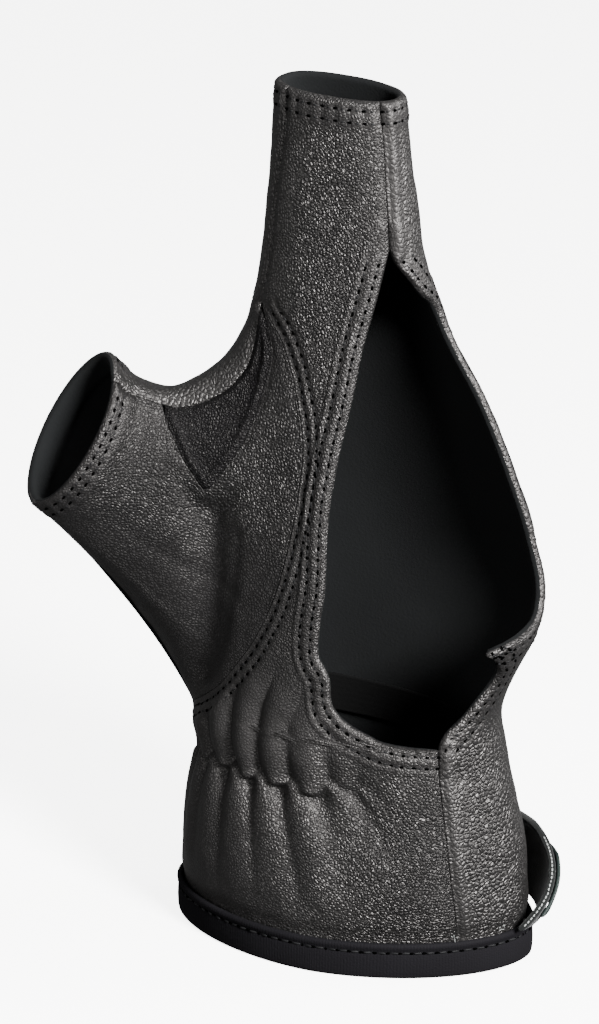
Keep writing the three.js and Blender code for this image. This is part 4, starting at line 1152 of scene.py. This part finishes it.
def make_tab_label():
    """The bare label on the flap's outer face."""
    looks = bpy.context.scene.glove_looks
    margin = LABEL_MARGIN / TAB_HEIGHT
    inside = TAB_THICKNESS + LABEL_GAP
    piece = plate("bare_label", 0.04, 0.5, margin, 0.74, margin, inside, LABEL_THICKNESS, 40, 30)
    satin = shared_material("satin_ribbon_label", woven, looks.label_low, looks.label_high, 0.3, 0.38)
    finish_piece(piece, "label_patch", [satin, satin], "tab_label")


def make_wrist_elastic():
    """Knitted elastic sewn inside the back of the wrist, in close lengthwise ribs."""
    looks = bpy.context.scene.glove_looks
    columns, rows = 120, 25
    angle = np.linspace(ELASTIC_FROM, ELASTIC_TO, columns)[None, :]
    share = np.linspace(-0.5, 0.5, rows)[:, None]
    z = ELASTIC_HEIGHT + ELASTIC_RISE * (angle - ELASTIC_FROM) + ELASTIC_WIDTH * share
    ribs = 0.03 * np.cos(share * 2 * math.pi * ELASTIC_RIBS)
    angle = np.repeat(angle, rows, 0)
    outwards = body_frame(angle, z)[2]
    base = body_point(angle, z)
    front = base - outwards * (WALL + ELASTIC_GAP)
    behind = base - outwards * (WALL + ELASTIC_GAP + ELASTIC_THICKNESS + ribs[..., None])
    points = np.concatenate([front.reshape(-1, 3), behind.reshape(-1, 3)])
    quads = grid_quads(rows, columns)
    edges = open_edges(quads)
    count = rows * columns
    sides = np.stack([edges[:, 1], edges[:, 0], edges[:, 0] + count, edges[:, 1] + count], 1)
    faces = np.concatenate([quads, quads[:, ::-1] + count, sides]).tolist()
    piece = make_object("elastic_band", points, faces)
    knit = shared_material("knitted_elastic", woven, looks.elastic_low, looks.elastic_high, 0.4, 1.0)
    finish_piece(piece, "elastic_band", [knit], "wrist_elastic")


def tuft(places, radius, sides=5):
    """Loose ends of thread as thin bent tubes through a few points."""
    points, faces = [], []
    for place in places:
        path = dense(place, 0.4)
        along = unit(np.gradient(path, axis=0))
        side = unit(np.cross(along, np.array([0.3, 0.5, 0.8])))
        over = np.cross(along, side)
        faces += tube_faces(len(points), len(path), sides)
        for centre, first, second in zip(path, side, over):
            for corner in range(sides):
                angle = 2 * math.pi * corner / sides
                points.append(centre + radius * (first * math.cos(angle) + second * math.sin(angle)))
    return points, faces


def make_thread_ends():
    """Small pale ends of sewing thread above the binding and beside the flap."""
    looks = bpy.context.scene.glove_looks
    random = np.random.default_rng(4)
    bends = 4
    places = []
    for angle, z, count, size in THREAD_ENDS:
        for _ in range(count):
            start = form_point(angle + random.uniform(-1, 1), z, 0.3)
            line = [start]
            way = random.normal(size=3)
            for _ in range(bends):
                way = way + random.normal(size=3) * 0.6
                line.append(line[-1] + unit(way) * size / bends)
            outward = unit(form_point(angle, z, 1) - form_point(angle, z, 0))
            places.append([point + outward * 0.12 * i for i, point in enumerate(line)])
    points, faces = tuft(places, THREAD_END_RADIUS)
    piece = make_object("thread_ends", np.array(points), faces)
    pale = shared_material("pale_thread_ends", woven, looks.overlock_low, looks.overlock_high, 0.2, 0.7)
    finish_piece(piece, "tab_fabric", [pale])


def aimed(name, data, place, way):
    """Puts a lamp or a camera in the scene, at a place in metres and looking along a way."""
    made = bpy.data.objects.new(name, data)
    bpy.context.scene.collection.objects.link(made)
    made.location = place
    made.rotation_euler = way.to_track_quat("-Z", "Y").to_euler()
    return made


def make_floor(glow):
    """A pale floor that glows but lights nothing, so that the object's shaded sides stay dark."""
    bpy.ops.object.select_all(action="DESELECT")
    bpy.ops.mesh.primitive_plane_add(size=12, location=(0, 0, 0))
    floor = bpy.context.active_object
    floor.name = "studio_floor"
    floor.data.materials.append(light_table("opal_light_table", "#f6f6f5", glow))
    floor.visible_diffuse = False
    floor.visible_glossy = False


def make_stage():
    """The floor, the white surround, soft studio lights and the photo's camera."""
    looks = bpy.context.scene.glove_looks
    make_floor(looks.floor_glow)
    world = bpy.data.worlds.new("studio_air")
    world.use_nodes = True
    world.node_tree.nodes["Background"].inputs["Color"].default_value = (1, 1, 1, 1)
    world.node_tree.nodes["Background"].inputs["Strength"].default_value = looks.air_strength
    bpy.context.scene.world = world
    lights = [
        ("key_light", (0.85, -0.42, 0.62), 0.3, looks.key_power),
        ("front_light", (-0.2, -1.1, 0.22), 0.5, looks.front_power),
        ("top_light", (0.1, -0.1, 1.2), 0.7, looks.top_power),
        ("rim_light", (0.7, 0.55, 0.5), 0.4, looks.rim_power),
    ]
    for name, place, size, power in lights:
        data = bpy.data.lights.new(name, "AREA")
        data.shape = "DISK"
        data.size = size
        data.energy = power
        aimed(name, data, Vector(place), Vector(LIGHTS_TARGET) - Vector(place))
    azimuth, elevation = math.radians(CAMERA_AZIMUTH), math.radians(CAMERA_ELEVATION)
    level = math.cos(elevation)
    back = Vector((math.sin(azimuth) * level, -math.cos(azimuth) * level, math.sin(elevation)))
    target = Vector((np.array(CAMERA_TARGET) + SHIFT) * MM)
    data = bpy.data.cameras.new("photo_camera")
    data.sensor_width = SENSOR_WIDTH
    data.lens = SENSOR_WIDTH * FOCAL_PIXELS / PICTURE_PIXELS
    camera = aimed("photo_camera", data, target + back * CAMERA_DISTANCE, -back)
    bpy.context.scene.camera = camera


def colour_property(label, code, description):
    """An sRGB hex colour that a user can change."""
    return bpy.props.StringProperty(name=label, default=code, description=description)


def power_property(label, watts, description):
    """A light's power that a user can change."""
    return bpy.props.FloatProperty(name=label, default=watts, unit="POWER", description=description)


class GloveLooks(bpy.types.PropertyGroup):
    """Sizes and colours of the finish that a user would change."""

    grain_cell: bpy.props.FloatProperty(name="Grain cell", default=0.66, min=0.2, max=3,
                                        description="Width of one pebble of the leather, in millimetres")
    palm_low: colour_property("Palm, dark", "#0c0c0d", "Dark tone of the palm leather")
    palm_high: colour_property("Palm, light", "#191818", "Light tone of the palm leather")
    back_low: colour_property("Back, dark", "#0b0b0c", "Dark tone of the back leather")
    back_high: colour_property("Back, light", "#171616", "Light tone of the back leather")
    thumb_low: colour_property("Thumb, dark", "#0d0d0e", "Dark tone of the thumb leather")
    thumb_high: colour_property("Thumb, light", "#1a1919", "Light tone of the thumb leather")
    gusset_low: colour_property("Gusset, dark", "#080809", "Dark tone of the gusset leather")
    gusset_high: colour_property("Gusset, light", "#121112", "Light tone of the gusset leather")
    suede_low: colour_property("Suede, dark", "#040505", "Dark tone of the leather's inside")
    suede_high: colour_property("Suede, light", "#0a0b0c", "Light tone of the leather's inside")
    thread_low: colour_property("Thread, dark", "#09090a", "Dark tone of the black thread")
    thread_high: colour_property("Thread, light", "#141415", "Light tone of the black thread")
    # The needle holes' colour is painted shade.
    hole_shade_tone: colour_property("Needle hole", "#020202", "Tone inside the needles' holes")
    binding_low: colour_property("Binding, dark", "#050406", "Dark tone of the binding tape")
    binding_high: colour_property("Binding, light", "#0b0a0d", "Light tone of the binding tape")
    tab_low: colour_property("Flap, dark", "#060707", "Dark tone of the closure flap")
    tab_high: colour_property("Flap, light", "#0e100f", "Light tone of the closure flap")
    label_low: colour_property("Label, dark", "#0f1413", "Dark tone of the bare label")
    label_high: colour_property("Label, light", "#1f2624", "Light tone of the bare label")
    overlock_low: colour_property("Overlock, dark", "#5c5e5d", "Dark tone of the pale edge thread")
    overlock_high: colour_property("Overlock, light", "#8c8e8c", "Light tone of the pale edge thread")
    elastic_low: colour_property("Elastic, dark", "#020202", "Dark tone of the elastic")
    elastic_high: colour_property("Elastic, light", "#040404", "Light tone of the elastic")
    floor_glow: bpy.props.FloatProperty(name="Floor glow", default=6.0,
                                        description="Light from the floor itself")
    air_strength: bpy.props.FloatProperty(name="Studio air", default=0.22,
                                          description="Strength of the white surround")
    key_power: power_property("Key light", 74.0, "Light from the right")
    front_power: power_property("Front light", 5.5, "Light from the front")
    top_power: power_property("Top light", 7.0, "Light from above")
    rim_power: power_property("Rim light", 9.0, "Light from behind")


class GLOVE_OT_palm_panel(bpy.types.Operator):
    """Makes the palm panel and its stitches"""

    bl_idname = "glove.palm_panel"
    bl_label = "Palm panel"

    def execute(self, context):
        make_palm_panel()
        return {"FINISHED"}


class GLOVE_OT_back_panel(bpy.types.Operator):
    """Makes the back panel and its stitches"""

    bl_idname = "glove.back_panel"
    bl_label = "Back panel"

    def execute(self, context):
        make_back_panel()
        return {"FINISHED"}


class GLOVE_OT_thumb_panel(bpy.types.Operator):
    """Makes the front of the thumb and its stitches"""

    bl_idname = "glove.thumb_panel"
    bl_label = "Thumb panel"

    def execute(self, context):
        make_thumb_panel()
        return {"FINISHED"}


class GLOVE_OT_web_gusset(bpy.types.Operator):
    """Makes the gusset between thumb and finger"""

    bl_idname = "glove.web_gusset"
    bl_label = "Web gusset"

    def execute(self, context):
        make_web_gusset()
        return {"FINISHED"}


class GLOVE_OT_cuff_binding(bpy.types.Operator):
    """Makes the ribbed tape round the cuff"""

    bl_idname = "glove.cuff_binding"
    bl_label = "Cuff binding"

    def execute(self, context):
        make_cuff_binding()
        return {"FINISHED"}


class GLOVE_OT_closure_tab(bpy.types.Operator):
    """Makes the closure flap with its overlocked edge"""

    bl_idname = "glove.closure_tab"
    bl_label = "Closure tab"

    def execute(self, context):
        make_closure_tab()
        return {"FINISHED"}


class GLOVE_OT_tab_label(bpy.types.Operator):
    """Makes the bare label on the flap"""

    bl_idname = "glove.tab_label"
    bl_label = "Tab label"

    def execute(self, context):
        make_tab_label()
        return {"FINISHED"}


class GLOVE_OT_wrist_elastic(bpy.types.Operator):
    """Makes the elastic inside the wrist"""

    bl_idname = "glove.wrist_elastic"
    bl_label = "Wrist elastic"

    def execute(self, context):
        make_wrist_elastic()
        return {"FINISHED"}


class GLOVE_OT_thread_ends(bpy.types.Operator):
    """Makes the loose ends of thread at the cuff"""

    bl_idname = "glove.thread_ends"
    bl_label = "Thread ends"

    def execute(self, context):
        make_thread_ends()
        return {"FINISHED"}


class GLOVE_OT_stage(bpy.types.Operator):
    """Makes the floor, the lights and the camera"""

    bl_idname = "glove.stage"
    bl_label = "Stage"

    def execute(self, context):
        make_stage()
        return {"FINISHED"}


OPERATORS = (
    GLOVE_OT_stage, GLOVE_OT_palm_panel, GLOVE_OT_back_panel, GLOVE_OT_thumb_panel, GLOVE_OT_web_gusset,
    GLOVE_OT_cuff_binding, GLOVE_OT_closure_tab, GLOVE_OT_tab_label, GLOVE_OT_wrist_elastic,
    GLOVE_OT_thread_ends,
)


class GLOVE_PT_panel(bpy.types.Panel):
    """Lists the glove's pieces"""

    bl_idname = "GLOVE_PT_panel"
    bl_label = "Bow Hand Glove"
    bl_space_type = "VIEW_3D"
    bl_region_type = "UI"
    bl_category = "Glove"

    def draw(self, context):
        for operator in OPERATORS:
            self.layout.operator(operator.bl_idname)
        for name in GloveLooks.__annotations__:
            self.layout.prop(context.scene.glove_looks, name)


CLASSES = (GloveLooks, *OPERATORS, GLOVE_PT_panel)


def register():
    """Registers the classes and puts the looks on the scene."""
    for one in CLASSES:
        bpy.utils.register_class(one)
    bpy.types.Scene.glove_looks = bpy.props.PointerProperty(type=GloveLooks)


def unregister():
    """Takes the looks and the classes away again."""
    del bpy.types.Scene.glove_looks
    for one in reversed(CLASSES):
        bpy.utils.unregister_class(one)


def main():
    """Makes every piece and the stage."""
    register()
    for operator in OPERATORS:
        name = operator.bl_idname.split(".")[1]
        getattr(bpy.ops.glove, name)()


if __name__ == "__main__":
    main()
